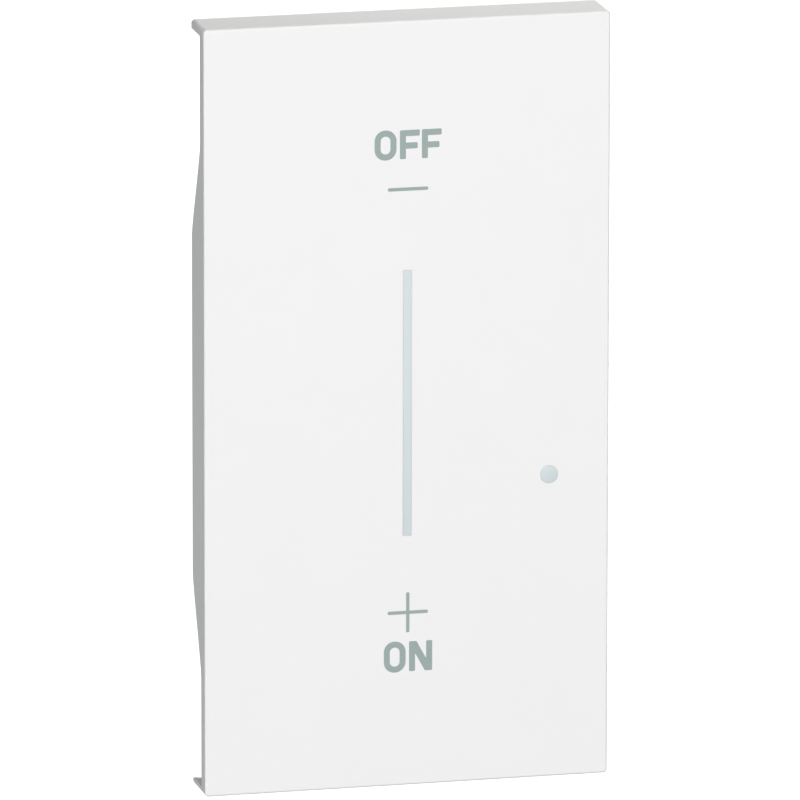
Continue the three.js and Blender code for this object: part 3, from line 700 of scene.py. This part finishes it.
def mounting_frame():
    """The flange with its rod guides, its hinge lugs and its snap tongues."""
    base = plate(centred(FLANGE_SIZE, 1.5, steps=6), FLANGE_RIM, 0, 0.25, 0.2)
    top = FLANGE_SIZE[1] / 2
    wall = (FLANGE_FRONT, -RECESS)
    root = FLANGE_FRONT + OVERLAP
    lens_hole = circle(LENS_MIDDLE, FRAME_LENS_HOLE)
    added = []
    cuts = [hole(centred(FRAME_SLOT, 0.3), *wall), hole(lens_hole, *wall), pin_bore(0.04)]
    for end in (1, -1):
        boss = [(0, BOSS_FRONT)] + turned_edge(BOSS_RADIUS, BOSS_FRONT, 0.15, 1)
        boss += [(BOSS_RADIUS, root), (0, root)]
        added.append(turned(boss, (0, ROD_Z * end)))
        cuts.append(hole(circle((0, ROD_Z * end), ROD_BORE), BOSS_FRONT, -RECESS))
        notch_z = on_side(end, (top - NOTCH_DEPTH, top + 2))
        cuts.append(hole(rounded_outline(around(0, NOTCH_WIDTH), notch_z, 0.5), FLANGE_RIM, 0))
    for side in (1, -1):
        added.append(lug(root, FRAME_LUG_RADIUS, on_side(side, FRAME_LUG_X)))
        added += [frame_tongue(side, TONGUE_Z * end) for end in (1, -1)]
    return combine("mounting_frame_body", base, (MINUS, frame_hollows()), (PLUS, added), (MINUS, cuts))


def hinge_pin(name):
    """A ground steel pin with rounded edges at both ends."""
    low, high = box_mm(name)
    profile = [(0, low.x)] + turned_edge(PIN_RADIUS, low.x, 0.15, 1)
    profile += turned_edge(PIN_RADIUS, high.x, 0.15, -1) + [(0, high.x)]
    return mesh_object(f"{name}_ground", facing(turned(profile, (HINGE_Y, 0), 40), "X"))


# ---------- push rods and springs

ROD_RADIUS = 1.4
ROD_HEAD_RADIUS = 3
ROD_HEAD = 0.9
SPRING_RADIUS = 2.65
SPRING_WIRE = 0.2
SPRING_TURNS = 5


def push_rod(name, z):
    """A rod with a flat head, and a fillet where they meet."""
    low, high = box_mm(name)
    neck = low.y + ROD_HEAD
    profile = [(0, low.y)] + turned_edge(ROD_HEAD_RADIUS, low.y, 0.2, 1)
    profile += turned_edge(ROD_HEAD_RADIUS, neck, 0.12, -1)
    profile += [(ROD_RADIUS + 0.2, neck), (ROD_RADIUS + 0.06, neck + 0.06), (ROD_RADIUS, neck + 0.2)]
    profile += turned_edge(ROD_RADIUS, high.y, 0.3, -1) + [(0, high.y)]
    return mesh_object(f"{name}_body", turned(profile, (0, z)))


def spring_rise(turned_so_far, closed):
    """How far along a spring its wire has come, from 0 to 1; each end turn rises only by closed."""
    if turned_so_far < 1:
        return closed * turned_so_far
    if turned_so_far > SPRING_TURNS - 1:
        return 1 - closed * (SPRING_TURNS - turned_so_far)
    return closed + (1 - 2 * closed) * (turned_so_far - 1) / (SPRING_TURNS - 2)


def return_spring(name, z):
    """A helical wire whose last turn at each end is closed."""
    low, high = box_mm(name)
    span = high.y - low.y - 2 * SPRING_WIRE
    steps, sides = 180, 10
    closed = 2 * SPRING_WIRE / span
    rings = []
    for step in range(steps + 1):
        turned_so_far = step / steps * SPRING_TURNS
        rise = spring_rise(turned_so_far, closed)
        angle = 2 * math.pi * turned_so_far
        radial = Vector((math.cos(angle), 0, math.sin(angle)))
        centre = radial * SPRING_RADIUS + Vector((0, low.y + SPRING_WIRE + span * rise, z))
        ring = []
        for side in range(sides):
            about = 2 * math.pi * side / sides
            ring.append(centre + SPRING_WIRE * (radial * math.cos(about) + Vector((0, math.sin(about), 0))))
        rings.append(ring)
    return mesh_object(f"{name}_wire", loft(rings))


# ---------- rear housing and terminals

HOUSING_LOW, HOUSING_HIGH = box_mm("rear_housing")
HOUSING_HEIGHT = 44.6
SHOULDER_WIDTH = 37.2
SHOULDER_BACK = 6
TOWER_WIDTH = 31.2
TOWER_FRONT = 4.4
HOUSING_WALL = 1.1
REAR_WALL = 1.3
HOUSING_BACK = HOUSING_HIGH.y
HOUSING_CORNER = 2
HOUSING_INNER_CORNER = 0.9
SNAP_X = 10.5
SNAP_WIDTH = 6
SNAP_SLIT = 0.8
SLIT_Y = (-1.5, 5.6)
TONGUE_WINDOW_Y = (1.8, 3.5)
TONGUE_WINDOW_WIDTH = 6
VENT_X = 6.5
VENT_SIZE = (9, 1.2)
VENT_ROWS = (8, 11, 14, 17)
TERMINALS = {"left": -9.4, "middle": 0, "right": 9.4}
TERMINAL_Z = -17.5
WIRE_WIDTH = 5
WIRE_Y = (6.1, 10.5)
WELL_RADIUS = 2.85
DIVIDER = 0.9
DIVIDER_X = 4.7
DIVIDER_FRONT = 6.4
DIVIDER_TOP = -13.4
SCREW_HEAD = 1.6
SCREW_HEAD_RADIUS = 2.5
SCREW_CORE = 1.25
THREAD_RADIUS = 1.45
THREAD_PITCH = 0.5
DRIVE_DEPTH = 0.9
DRIVE_WIDTH = 0.7
CAGE_STRIP = 0.9
CAGE_THREAD = 1.7


def housing_outline(width, inset, radius):
    """The outline of the housing where it is this wide, moved inwards by an inset."""
    half = width / 2 - inset
    tall = HOUSING_HEIGHT / 2 - inset
    return rounded_outline((-half, half), (-tall, tall), radius, 6)


def snap_wedge(end, x):
    """A sprung catch in an end wall: a wedge that rises towards the flange."""
    face = HOUSING_HEIGHT / 2
    root, crest = face - 0.3, face + 1
    front, back = 2.3, 5
    corners = [(front, root), (back, root), (back, face), (front + 0.5, crest), (front, crest)]
    bm = plate(rounded_polygon(corners, 0.08, steps=2), *around(x, SNAP_WIDTH), 0.1, 0.1, 2)
    order = Matrix(((0, 1, 0), (1, 0, 0), (0, 0, end))).to_4x4()
    bmesh.ops.transform(bm, matrix=order, verts=bm.verts)
    return clean(bm)


def housing_cuts():
    """Slits beside the catches, wire mouths, screw wells, tongue windows and vents."""
    rear = (HOUSING_BACK - REAR_WALL, HOUSING_BACK)
    half = HOUSING_HEIGHT / 2
    cuts = []
    for end in (1, -1):
        for x in (-SNAP_X, SNAP_X):
            for side in (1, -1):
                slit_x = x + side * (SNAP_WIDTH + SNAP_SLIT) / 2
                slit = rounded_outline(around(slit_x, SNAP_SLIT), SLIT_Y, 0.35)
                cuts.append(facing(hole(slit, *on_side(end, (half - HOUSING_WALL, half))), "Z"))
    for x in TERMINALS.values():
        mouth = rounded_outline(around(x, WIRE_WIDTH), WIRE_Y, 0.6)
        cuts.append(facing(hole(mouth, -half, HOUSING_WALL - half, 0.25), "Z"))
        cuts.append(hole(circle((x, TERMINAL_Z), WELL_RADIUS), *rear, 0.2))
    for side in (1, -1):
        shoulder = on_side(side, (SHOULDER_WIDTH / 2 - HOUSING_WALL, SHOULDER_WIDTH / 2))
        for end in (1, -1):
            window_z = around(TONGUE_Z * end, TONGUE_WINDOW_WIDTH)
            window = rounded_outline(TONGUE_WINDOW_Y, window_z, 0.25)
            cuts.append(facing(hole(window, *shoulder), "X"))
        for vent_z in VENT_ROWS:
            cuts.append(hole(centred(VENT_SIZE, 0.55, (VENT_X * side, vent_z)), *rear, 0.12))
    return cuts


def rear_housing():
    """A wide shoulder behind the flange and a narrower tower, hollowed, with catches and dividers."""
    wide = housing_outline(SHOULDER_WIDTH, 0, HOUSING_CORNER)
    narrow = housing_outline(TOWER_WIDTH, 0, HOUSING_CORNER)
    shoulder = plate(wide, HOUSING_LOW.y, SHOULDER_BACK, 0.15, 0.4)
    tower = plate(narrow, TOWER_FRONT, HOUSING_BACK, 0.2, 0.8, 5)
    floor_y = SHOULDER_BACK - HOUSING_WALL
    inner_wide = housing_outline(SHOULDER_WIDTH, HOUSING_WALL, HOUSING_INNER_CORNER)
    inner_narrow = housing_outline(TOWER_WIDTH, HOUSING_WALL, HOUSING_INNER_CORNER)
    hollows = [
        plate(inner_wide, HOUSING_LOW.y - 1, floor_y, 0, 0.3),
        plate(inner_narrow, floor_y - 1, HOUSING_BACK - REAR_WALL, 0, 0.4),
    ]
    added = [snap_wedge(end, x) for end in (1, -1) for x in (-SNAP_X, SNAP_X)]
    divider_y = (DIVIDER_FRONT, HOUSING_BACK - 0.5)
    divider_z = (0.5 - HOUSING_HEIGHT / 2, DIVIDER_TOP)
    for side in (1, -1):
        added.append(block(around(DIVIDER_X * side, DIVIDER), divider_y, divider_z))
    steps = [(PLUS, [tower]), (MINUS, hollows), (PLUS, added), (MINUS, housing_cuts())]
    return combine("rear_housing_body", shoulder, *steps)


def terminal_screw(name, x):
    """A combination-head clamp screw with its thread turned as fine rings."""
    low, high = box_mm(name)
    head_front = high.y - SCREW_HEAD
    profile = [(0, low.y), (1.0, low.y), (SCREW_CORE, low.y + 0.25)]
    y = low.y + 0.25
    while y + THREAD_PITCH < head_front - 0.2:
        profile += [(SCREW_CORE - 0.03, y + 0.08), (THREAD_RADIUS, y + 0.25), (THREAD_RADIUS, y + 0.29)]
        y += THREAD_PITCH
    profile += [(SCREW_CORE, y), (SCREW_CORE, head_front)]
    profile += turned_edge(SCREW_HEAD_RADIUS, head_front, 0.12, 1)
    dome = [(0, 0.5), (0.1, 0.28), (0.35, 0.1), (0.7, 0)]
    profile += [(SCREW_HEAD_RADIUS - inset, high.y - fall) for inset, fall in dome]
    profile.append((0, high.y))
    drive = []
    for size in ((7, DRIVE_WIDTH), (DRIVE_WIDTH, 2.8)):
        outline = centred(size, 0.1, (x, TERMINAL_Z))
        drive.append(hole(outline, high.y - DRIVE_DEPTH, high.y, 0.06))
    return combine(f"{name}_body", turned(profile, (x, TERMINAL_Z), 56), (MINUS, drive))


def terminal_cage(name, x):
    """A box clamp of folded strip."""
    low, high = box_mm(name)
    z_span = (low.z, high.z)
    body = block((low.x, high.x), (low.y, high.y), z_span, 0.25)
    inside_x = (low.x + CAGE_STRIP, high.x - CAGE_STRIP)
    inside_y = (low.y + CAGE_STRIP, high.y - CAGE_STRIP)
    window = facing(hole(rounded_outline(inside_x, inside_y, 0.3), *z_span, 0.12), "Z")
    tapped = hole(circle((x, TERMINAL_Z), CAGE_THREAD), high.y - CAGE_STRIP, high.y, 0.12)
    return combine(f"{name}_body", body, (MINUS, [window, tapped]))


# ---------- materials

WHITE = (0.875, 0.875, 0.872)
FROST = (0.676, 0.742, 0.764)
FROST_FOOT_SHADE = 0.925
FROST_FADE = (-14.5, 3)
INK_GREY = (0.325, 0.398, 0.388)
# The winding's colour runs from painted shade in the grooves between turns to a painted highlight on their
# crowns.
COPPER_GROOVE_SHADE = (0.20, 0.045, 0.015)
COPPER_CROWN_HIGHLIGHT = (0.62, 0.24, 0.10)
ALONG_Z = (1, 1, 0.05)
ALONG_Y = (1, 0.05, 1)


def new_material(name):
    """A new material, its node tree and its shader."""
    material = bpy.data.materials.new(name)
    material.use_nodes = True
    return material, material.node_tree, material.node_tree.nodes["Principled BSDF"]


def place(tree, stretch=(1, 1, 1)):
    """The object's own coordinates, in metres, stretched along each axis."""
    source = tree.nodes.new("ShaderNodeTexCoord")
    mapping = tree.nodes.new("ShaderNodeMapping")
    mapping.inputs["Scale"].default_value = stretch
    tree.links.new(source.outputs["Object"], mapping.inputs["Vector"])
    return mapping.outputs["Vector"]


def noise(tree, scale, detail, stretch=(1, 1, 1)):
    """A noise with this many features per metre, and finer ones in as many steps as detail says."""
    texture = tree.nodes.new("ShaderNodeTexNoise")
    texture.inputs["Scale"].default_value = scale
    texture.inputs["Detail"].default_value = detail
    tree.links.new(place(tree, stretch), texture.inputs["Vector"])
    return texture.outputs["Fac"]


def bands(tree, scale, axis, distortion):
    """Parallel sine bands across an axis, this many per metre.

    Blender's wave texture turns through 20 radians a metre at a scale of 1.
    """
    wave = tree.nodes.new("ShaderNodeTexWave")
    wave.bands_direction = axis
    wave.inputs["Scale"].default_value = scale / 20 * 2 * math.pi
    wave.inputs["Distortion"].default_value = distortion
    tree.links.new(place(tree), wave.inputs["Vector"])
    return wave.outputs["Fac"]


def remap(tree, value, low, high, start=0.3, stop=0.7):
    """Maps a value from start..stop onto low..high; a noise mostly lies within 0.3..0.7."""
    node = tree.nodes.new("ShaderNodeMapRange")
    node.inputs["From Min"].default_value = start
    node.inputs["From Max"].default_value = stop
    node.inputs["To Min"].default_value = low
    node.inputs["To Max"].default_value = high
    tree.links.new(value, node.inputs["Value"])
    return node.outputs["Result"]


def tint(tree, factor, dark, light):
    """A colour between two, by a factor."""
    mix = tree.nodes.new("ShaderNodeMix")
    mix.data_type = "RGBA"
    mix.inputs["A"].default_value = (*dark, 1)
    mix.inputs["B"].default_value = (*light, 1)
    tree.links.new(factor, mix.inputs["Factor"])
    return mix.outputs["Result"]


def bump(tree, layers):
    """A normal from (height, distance in metres) layers, laid one over another."""
    normal = None
    for height, distance in layers:
        node = tree.nodes.new("ShaderNodeBump")
        node.inputs["Distance"].default_value = distance
        tree.links.new(height, node.inputs["Height"])
        if normal is not None:
            tree.links.new(normal, node.inputs["Normal"])
        normal = node.outputs["Normal"]
    return normal


def feed(tree, shader, colour, roughness, layers):
    """Gives a shader its colour, its roughness and its bump layers."""
    tree.links.new(colour, shader.inputs["Base Color"])
    tree.links.new(roughness, shader.inputs["Roughness"])
    tree.links.new(bump(tree, layers), shader.inputs["Normal"])


def scaled(colour, factor):
    """A colour made brighter or darker, within white."""
    return tuple(min(1.0, channel * factor) for channel in colour)


def moulded(name, colour, roughness, grain, peel, spread):
    """Moulded plastic: a spark-eroded grain over a faint orange peel, with a slow mottle."""
    material, tree, shader = new_material(name)
    mottle = remap(tree, noise(tree, 120, 3), 0, 1)
    shade = tint(tree, mottle, scaled(colour, 1 - spread), scaled(colour, 1 + spread))
    rough = remap(tree, noise(tree, 900, 5), roughness - 0.05, roughness + 0.05)
    layers = [(noise(tree, 5200, 3), grain), (noise(tree, 650, 2), peel)]
    feed(tree, shader, shade, rough, layers)
    return material


def metal(name, colour, roughness, brushed=(1, 1, 1), scratches=3e-6, spread=0.08):
    """Bare or plated metal with drawing marks, a cloudy plating and fine scratches."""
    material, tree, shader = new_material(name)
    shader.inputs["Metallic"].default_value = 1.0
    cloud = remap(tree, noise(tree, 400, 4), 0, 1)
    shade = tint(tree, cloud, scaled(colour, 1 - spread), scaled(colour, 1 + spread))
    rough = remap(tree, noise(tree, 1500, 4, brushed), roughness - 0.08, roughness + 0.1)
    layers = [(noise(tree, 4000, 4, brushed), scratches), (noise(tree, 500, 2), scratches)]
    feed(tree, shader, shade, rough, layers)
    return material


def clear_acrylic():
    """Clear plastic with a slight haze in its polish."""
    material, tree, shader = new_material("acrylic_clear")
    haze = remap(tree, noise(tree, 800, 4), 0, 1)
    shade = tint(tree, haze, (0.90, 0.95, 0.97), (0.95, 0.98, 1.0))
    rough = remap(tree, noise(tree, 2500, 3), 0.06, 0.16)
    shader.inputs["Transmission Weight"].default_value = 0.85
    shader.inputs["IOR"].default_value = 1.49
    feed(tree, shader, shade, rough, [(noise(tree, 700, 2), 3e-6)])
    return material


def frosted_diffuser():
    """Frosted plastic that is a little darker towards its lower end."""
    material, tree, shader = new_material("diffuser_frost")
    split = tree.nodes.new("ShaderNodeSeparateXYZ")
    tree.links.new(place(tree), split.inputs["Vector"])
    foot_z, full_z = FROST_FADE
    height = remap(tree, split.outputs["Z"], 0, 1, foot_z * MM, full_z * MM)
    shade = tint(tree, height, scaled(FROST, FROST_FOOT_SHADE), FROST)
    rough = remap(tree, noise(tree, 900, 5), 0.3, 0.4)
    layers = [(noise(tree, 5200, 3), 1e-6), (noise(tree, 650, 2), 1e-6)]
    feed(tree, shader, shade, rough, layers)
    return material


def printed_board():
    """Solder mask that is lighter over the copper tracks beneath it."""
    material, tree, shader = new_material("solder_mask")
    brick = tree.nodes.new("ShaderNodeTexBrick")
    brick.inputs["Scale"].default_value = 1.0
    brick.inputs["Brick Width"].default_value = 0.0046
    brick.inputs["Row Height"].default_value = 0.0019
    brick.inputs["Mortar Size"].default_value = 0.00022
    swap = tree.nodes.new("ShaderNodeMapping")
    swap.inputs["Rotation"].default_value = (math.pi / 2, 0, 0)
    tree.links.new(place(tree), swap.inputs["Vector"])
    tree.links.new(swap.outputs["Vector"], brick.inputs["Vector"])
    track = remap(tree, brick.outputs["Fac"], 0, 1, 0, 1)
    shade = tint(tree, track, (0.010, 0.075, 0.028), (0.025, 0.150, 0.060))
    rough = remap(tree, noise(tree, 1200, 4), 0.28, 0.42)
    layers = [(brick.outputs["Fac"], 2e-5), (noise(tree, 2600, 3), 4e-6)]
    feed(tree, shader, shade, rough, layers)
    return material


def wound_copper():
    """Enamelled wire wound round an axis along Y, with painted shade in the grooves between turns and a
    painted highlight on their crowns.
    """
    material, tree, shader = new_material("enamelled_wire")
    shader.inputs["Metallic"].default_value = 0.85
    strand_relief_and_shade = bands(tree, 2800, "Y", 0.4)
    # Painted shade in the grooves and a painted highlight on the crowns, following the same bands as the
    # bump.
    shade = tint(tree, strand_relief_and_shade, COPPER_GROOVE_SHADE, COPPER_CROWN_HIGHLIGHT)
    rough = remap(tree, noise(tree, 1500, 4), 0.22, 0.38)
    feed(tree, shader, shade, rough, [(strand_relief_and_shade, 6e-5)])
    return material


MATERIALS = {
    "cover_plastic": moulded("cover_white", WHITE, 0.50, 2.2e-6, 1e-6, 0.004),
    "legend_print": moulded("legend_ink", INK_GREY, 0.50, 1e-6, 1e-6, 0.02),
    "diffuser": frosted_diffuser(),
    "clear_acrylic": clear_acrylic(),
    "frame_plastic": moulded("frame_grey", (0.62, 0.62, 0.60), 0.48, 6e-6, 4e-6, 0.02),
    "housing_plastic": moulded("housing_charcoal", (0.040, 0.043, 0.048), 0.52, 1e-5, 5e-6, 0.08),
    "rod_plastic": moulded("rod_acetal", (0.78, 0.75, 0.66), 0.36, 3e-6, 3e-6, 0.02),
    "steel": metal("ground_steel", (0.58, 0.58, 0.59), 0.24, ALONG_Y),
    "plated_steel": metal("zinc_plate", (0.62, 0.64, 0.68), 0.34, ALONG_Y, 3e-6, 0.12),
    "spring_steel": metal("spring_wire", (0.42, 0.43, 0.45), 0.26),
    "circuit_board": printed_board(),
    "switch_plastic": moulded("switch_black", (0.020, 0.021, 0.024), 0.45, 5e-6, 3e-6, 0.08),
    "button_plastic": moulded("button_black", (0.030, 0.031, 0.036), 0.38, 3e-6, 3e-6, 0.08),
    "lamp": moulded("lamp_phosphor", (0.86, 0.78, 0.42), 0.30, 2e-6, 2e-6, 0.05),
    "chip_resin": moulded("chip_epoxy", (0.014, 0.014, 0.016), 0.55, 8e-6, 2e-6, 0.10),
    "aluminium": metal("rolled_aluminium", (0.80, 0.81, 0.83), 0.32, ALONG_Z, 6e-6, 0.05),
    "pad_rubber": moulded("silicone_pad", (0.33, 0.39, 0.47), 0.75, 1.5e-5, 6e-6, 0.05),
    "ferrite": moulded("ferrite_core", (0.035, 0.034, 0.038), 0.62, 2e-5, 6e-6, 0.15),
    "copper": wound_copper(),
    "film_case": moulded("film_yellow", (0.62, 0.47, 0.045), 0.34, 4e-6, 5e-6, 0.04),
    "can_sleeve": moulded("can_blue", (0.020, 0.050, 0.130), 0.28, 2e-6, 6e-6, 0.08),
    "fuse_body": moulded("fuse_ceramic", (0.74, 0.71, 0.62), 0.42, 5e-6, 4e-6, 0.04),
    "brass": metal("drawn_brass", (0.72, 0.50, 0.20), 0.28, ALONG_Z, 4e-6, 0.08),
}


# ---------- pieces on their bodies


def put(obj, body, slot, *nodes):
    """Gives a piece its finish and sets it on a CAD body in place of these CAD nodes."""
    obj.data.materials.append(MATERIALS[slot])
    smooth(obj)
    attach(obj, body)
    if nodes:
        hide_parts(*nodes)


def put_spring(name, end):
    """A return spring in spring steel, in place of its CAD node."""
    obj = return_spring(name, end * ROD_Z)
    obj.data.materials.append(MATERIALS["spring_steel"])
    obj.data.shade_smooth()
    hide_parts(name)
    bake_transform(obj)


def refinish(name, slot):
    """A CAD node that keeps its shape gets softened edges and a procedural finish."""
    node = NODES[name]
    weld = node.modifiers.new("weld", "WELD")
    weld.merge_threshold = 1e-6
    merge = node.modifiers.new("merge_faces", "DECIMATE")
    merge.decimate_type = "DISSOLVE"
    merge.angle_limit = math.radians(1)
    bevel = node.modifiers.new("soft_edges", "BEVEL")
    bevel.width = SOFT_EDGE * MM
    bevel.segments = 2
    bevel.limit_method = "ANGLE"
    bevel.angle_limit = math.radians(40)
    node.data.materials.clear()
    node.data.materials.append(MATERIALS[slot])


cover = front_cover()
put(cover, "rocker", "cover_plastic", "front_cover")
put(light_bar(), "rocker", "diffuser", "level_light_bar")
put(status_window(), "rocker", "diffuser", "status_lens")
for legend in legends():
    put(legend, "rocker", "legend_print")
put(rocker_carrier(), "rocker", "frame_plastic", "rocker_carrier")
put(mounting_frame(), "insert", "frame_plastic", "mounting_frame")
put(rear_housing(), "insert", "housing_plastic", "rear_housing")
for side in ("left", "right"):
    put(hinge_pin(f"{side}_hinge_pin"), "insert", "steel", f"{side}_hinge_pin")
for level, end in (("upper", 1), ("lower", -1)):
    rod = f"{level}_push_rod"
    put(push_rod(rod, end * ROD_Z), f"{level}_rod", "rod_plastic", rod)
    put_spring(f"{level}_return_spring", end)
for side, x in TERMINALS.items():
    screw, cage = f"{side}_terminal_screw", f"{side}_terminal_cage"
    put(terminal_screw(screw, x), f"{side}_screw", "plated_steel", screw)
    put(terminal_cage(cage, x), f"{side}_cage", "plated_steel", cage)

KEPT = {
    "clear_acrylic": ["level_light_guide", "status_light_guide"],
    "circuit_board": ["control_board", "power_board"],
    "switch_plastic": ["upper_key_switch", "lower_key_switch", "board_link_header"],
    "button_plastic": ["upper_switch_button", "lower_switch_button"],
    "lamp": ["status_led"] + [f"level_led_{index}" for index in range(1, 7)],
    "chip_resin": [
        "microcontroller",
        "left_power_transistor",
        "right_power_transistor",
        "bridge_rectifier",
    ],
    "pad_rubber": ["thermal_pad"],
    "aluminium": ["heat_sink"],
    "ferrite": ["choke_core"],
    "copper": ["choke_winding"],
    "film_case": ["film_capacitor"],
    "can_sleeve": ["reservoir_capacitor"],
    "fuse_body": ["thermal_fuse"],
    "brass": [f"{side}_terminal_strip" for side in TERMINALS],
}
for slot, names in KEPT.items():
    for name in names:
        refinish(name, slot)


# ---------- floor, lights and camera

STUDIO_RADIUS = 2600
STUDIO_SIDES = 64
ROOM_HEIGHT = 4020
FLOOR_Z = -2000
WORLD_STRENGTH = 0.2
CAMERA_AZIMUTH = -13.52
CAMERA_ELEVATION = 13.48
CAMERA_ROLL = 0.07
CAMERA_DISTANCE = 1.466
CAMERA_LENS = 610.3
AIMED_AT = (-0.825, 0.64)
# Direction, distance, size and power.
REAR_BOX = ((0.5, 1.0, -0.45), 1.5, 0.9, 16)


def studio():
    """A pale floor well below the part, inside a round white room.

    Both are bright enough to be a plain white ground, and neither of them lights the part.
    """
    material, _, shader = new_material("studio_white")
    shader.inputs["Base Color"].default_value = (0.9, 0.9, 0.9, 1)
    shader.inputs["Roughness"].default_value = 0.9
    shader.inputs["Emission Color"].default_value = (1, 1, 1, 1)
    shader.inputs["Emission Strength"].default_value = 1.0
    ground = bmesh.new()
    bmesh.ops.create_circle(ground, cap_ends=True, segments=STUDIO_SIDES, radius=STUDIO_RADIUS)
    bmesh.ops.translate(ground, vec=(0, 0, FLOOR_Z), verts=ground.verts)
    room = bmesh.new()
    bmesh.ops.create_cone(
        room,
        cap_ends=True,
        segments=STUDIO_SIDES,
        radius1=STUDIO_RADIUS,
        radius2=STUDIO_RADIUS,
        depth=ROOM_HEIGHT,
    )
    for name, bm in (("studio_floor", ground), ("studio_backdrop", room)):
        obj = mesh_object(name, bm)
        obj.data.materials.append(material)
        obj.visible_diffuse = False
        obj.visible_glossy = False
        obj.visible_shadow = False


def softbox(name, direction, distance, size, power, colour=(1, 1, 1), diffuse=True, glossy=True):
    """A square area light aimed at the part from a direction in the frame's axes.

    It can be kept out of what rough surfaces scatter or out of what they reflect.
    """
    light = bpy.data.lights.new(name, "AREA")
    light.size = size
    light.energy = power
    light.color = colour
    obj = bpy.data.objects.new(name, light)
    bpy.context.scene.collection.objects.link(obj)
    away = Vector(direction).normalized()
    obj.location = away * distance
    obj.rotation_mode = "QUATERNION"
    obj.rotation_quaternion = away.to_track_quat("Z", "Y")
    obj.visible_camera = False
    obj.visible_diffuse = diffuse
    obj.visible_glossy = glossy
    return obj


def keep_off(light, piece):
    """Lets a light fall on everything but one piece."""
    linked = bpy.data.collections.new(f"{light.name}_linking")
    linked.objects.link(piece)
    linked.collection_objects[0].light_linking.link_state = "EXCLUDE"
    light.light_linking.receiver_collection = linked


def world():
    """An even white glow all round."""
    made = bpy.data.worlds.new("studio")
    made.use_nodes = True
    background = made.node_tree.nodes["Background"]
    background.inputs["Color"].default_value = (1, 1, 1, 1)
    background.inputs["Strength"].default_value = WORLD_STRENGTH
    bpy.context.scene.world = made


def camera():
    """The photo's viewpoint."""
    azimuth = math.radians(CAMERA_AZIMUTH)
    elevation = math.radians(CAMERA_ELEVATION)
    x, z = AIMED_AT
    target = Vector((x, FACE_Y, z)) * MM
    back = Vector((
        math.sin(azimuth) * math.cos(elevation),
        -math.cos(azimuth) * math.cos(elevation),
        math.sin(elevation),
    ))
    data = bpy.data.cameras.new("camera")
    data.lens = CAMERA_LENS
    data.sensor_width = 36
    data.clip_start, data.clip_end = 0.05, 30
    obj = bpy.data.objects.new("camera", data)
    bpy.context.scene.collection.objects.link(obj)
    obj.location = target + back * CAMERA_DISTANCE
    obj.rotation_mode = "QUATERNION"
    facing_target = (-back).to_track_quat("-Z", "Y")
    roll = Matrix.Rotation(math.radians(CAMERA_ROLL), 4, back)
    obj.rotation_quaternion = roll.to_quaternion() @ facing_target
    bpy.context.scene.camera = obj


studio()
world()
softbox("key", (0.02, -1.0, 0.36), 1.5, 0.9, 19.8)
softbox("top", (0.35, 0.75, 0.9), 0.18, 0.1, 0.174, (1, 1, 0.96), glossy=False)
softbox("fill", (-1.0, -0.25, -0.3), 0.6, 0.4, 1.02, (0.97, 1, 1))
# The rear light's reflection is a light of its own, kept off the cover's dark edges.
softbox("rear", *REAR_BOX, glossy=False)
keep_off(softbox("rear_glint", *REAR_BOX, diffuse=False), cover)
camera()
bpy.context.scene.view_settings.view_transform = "Standard"
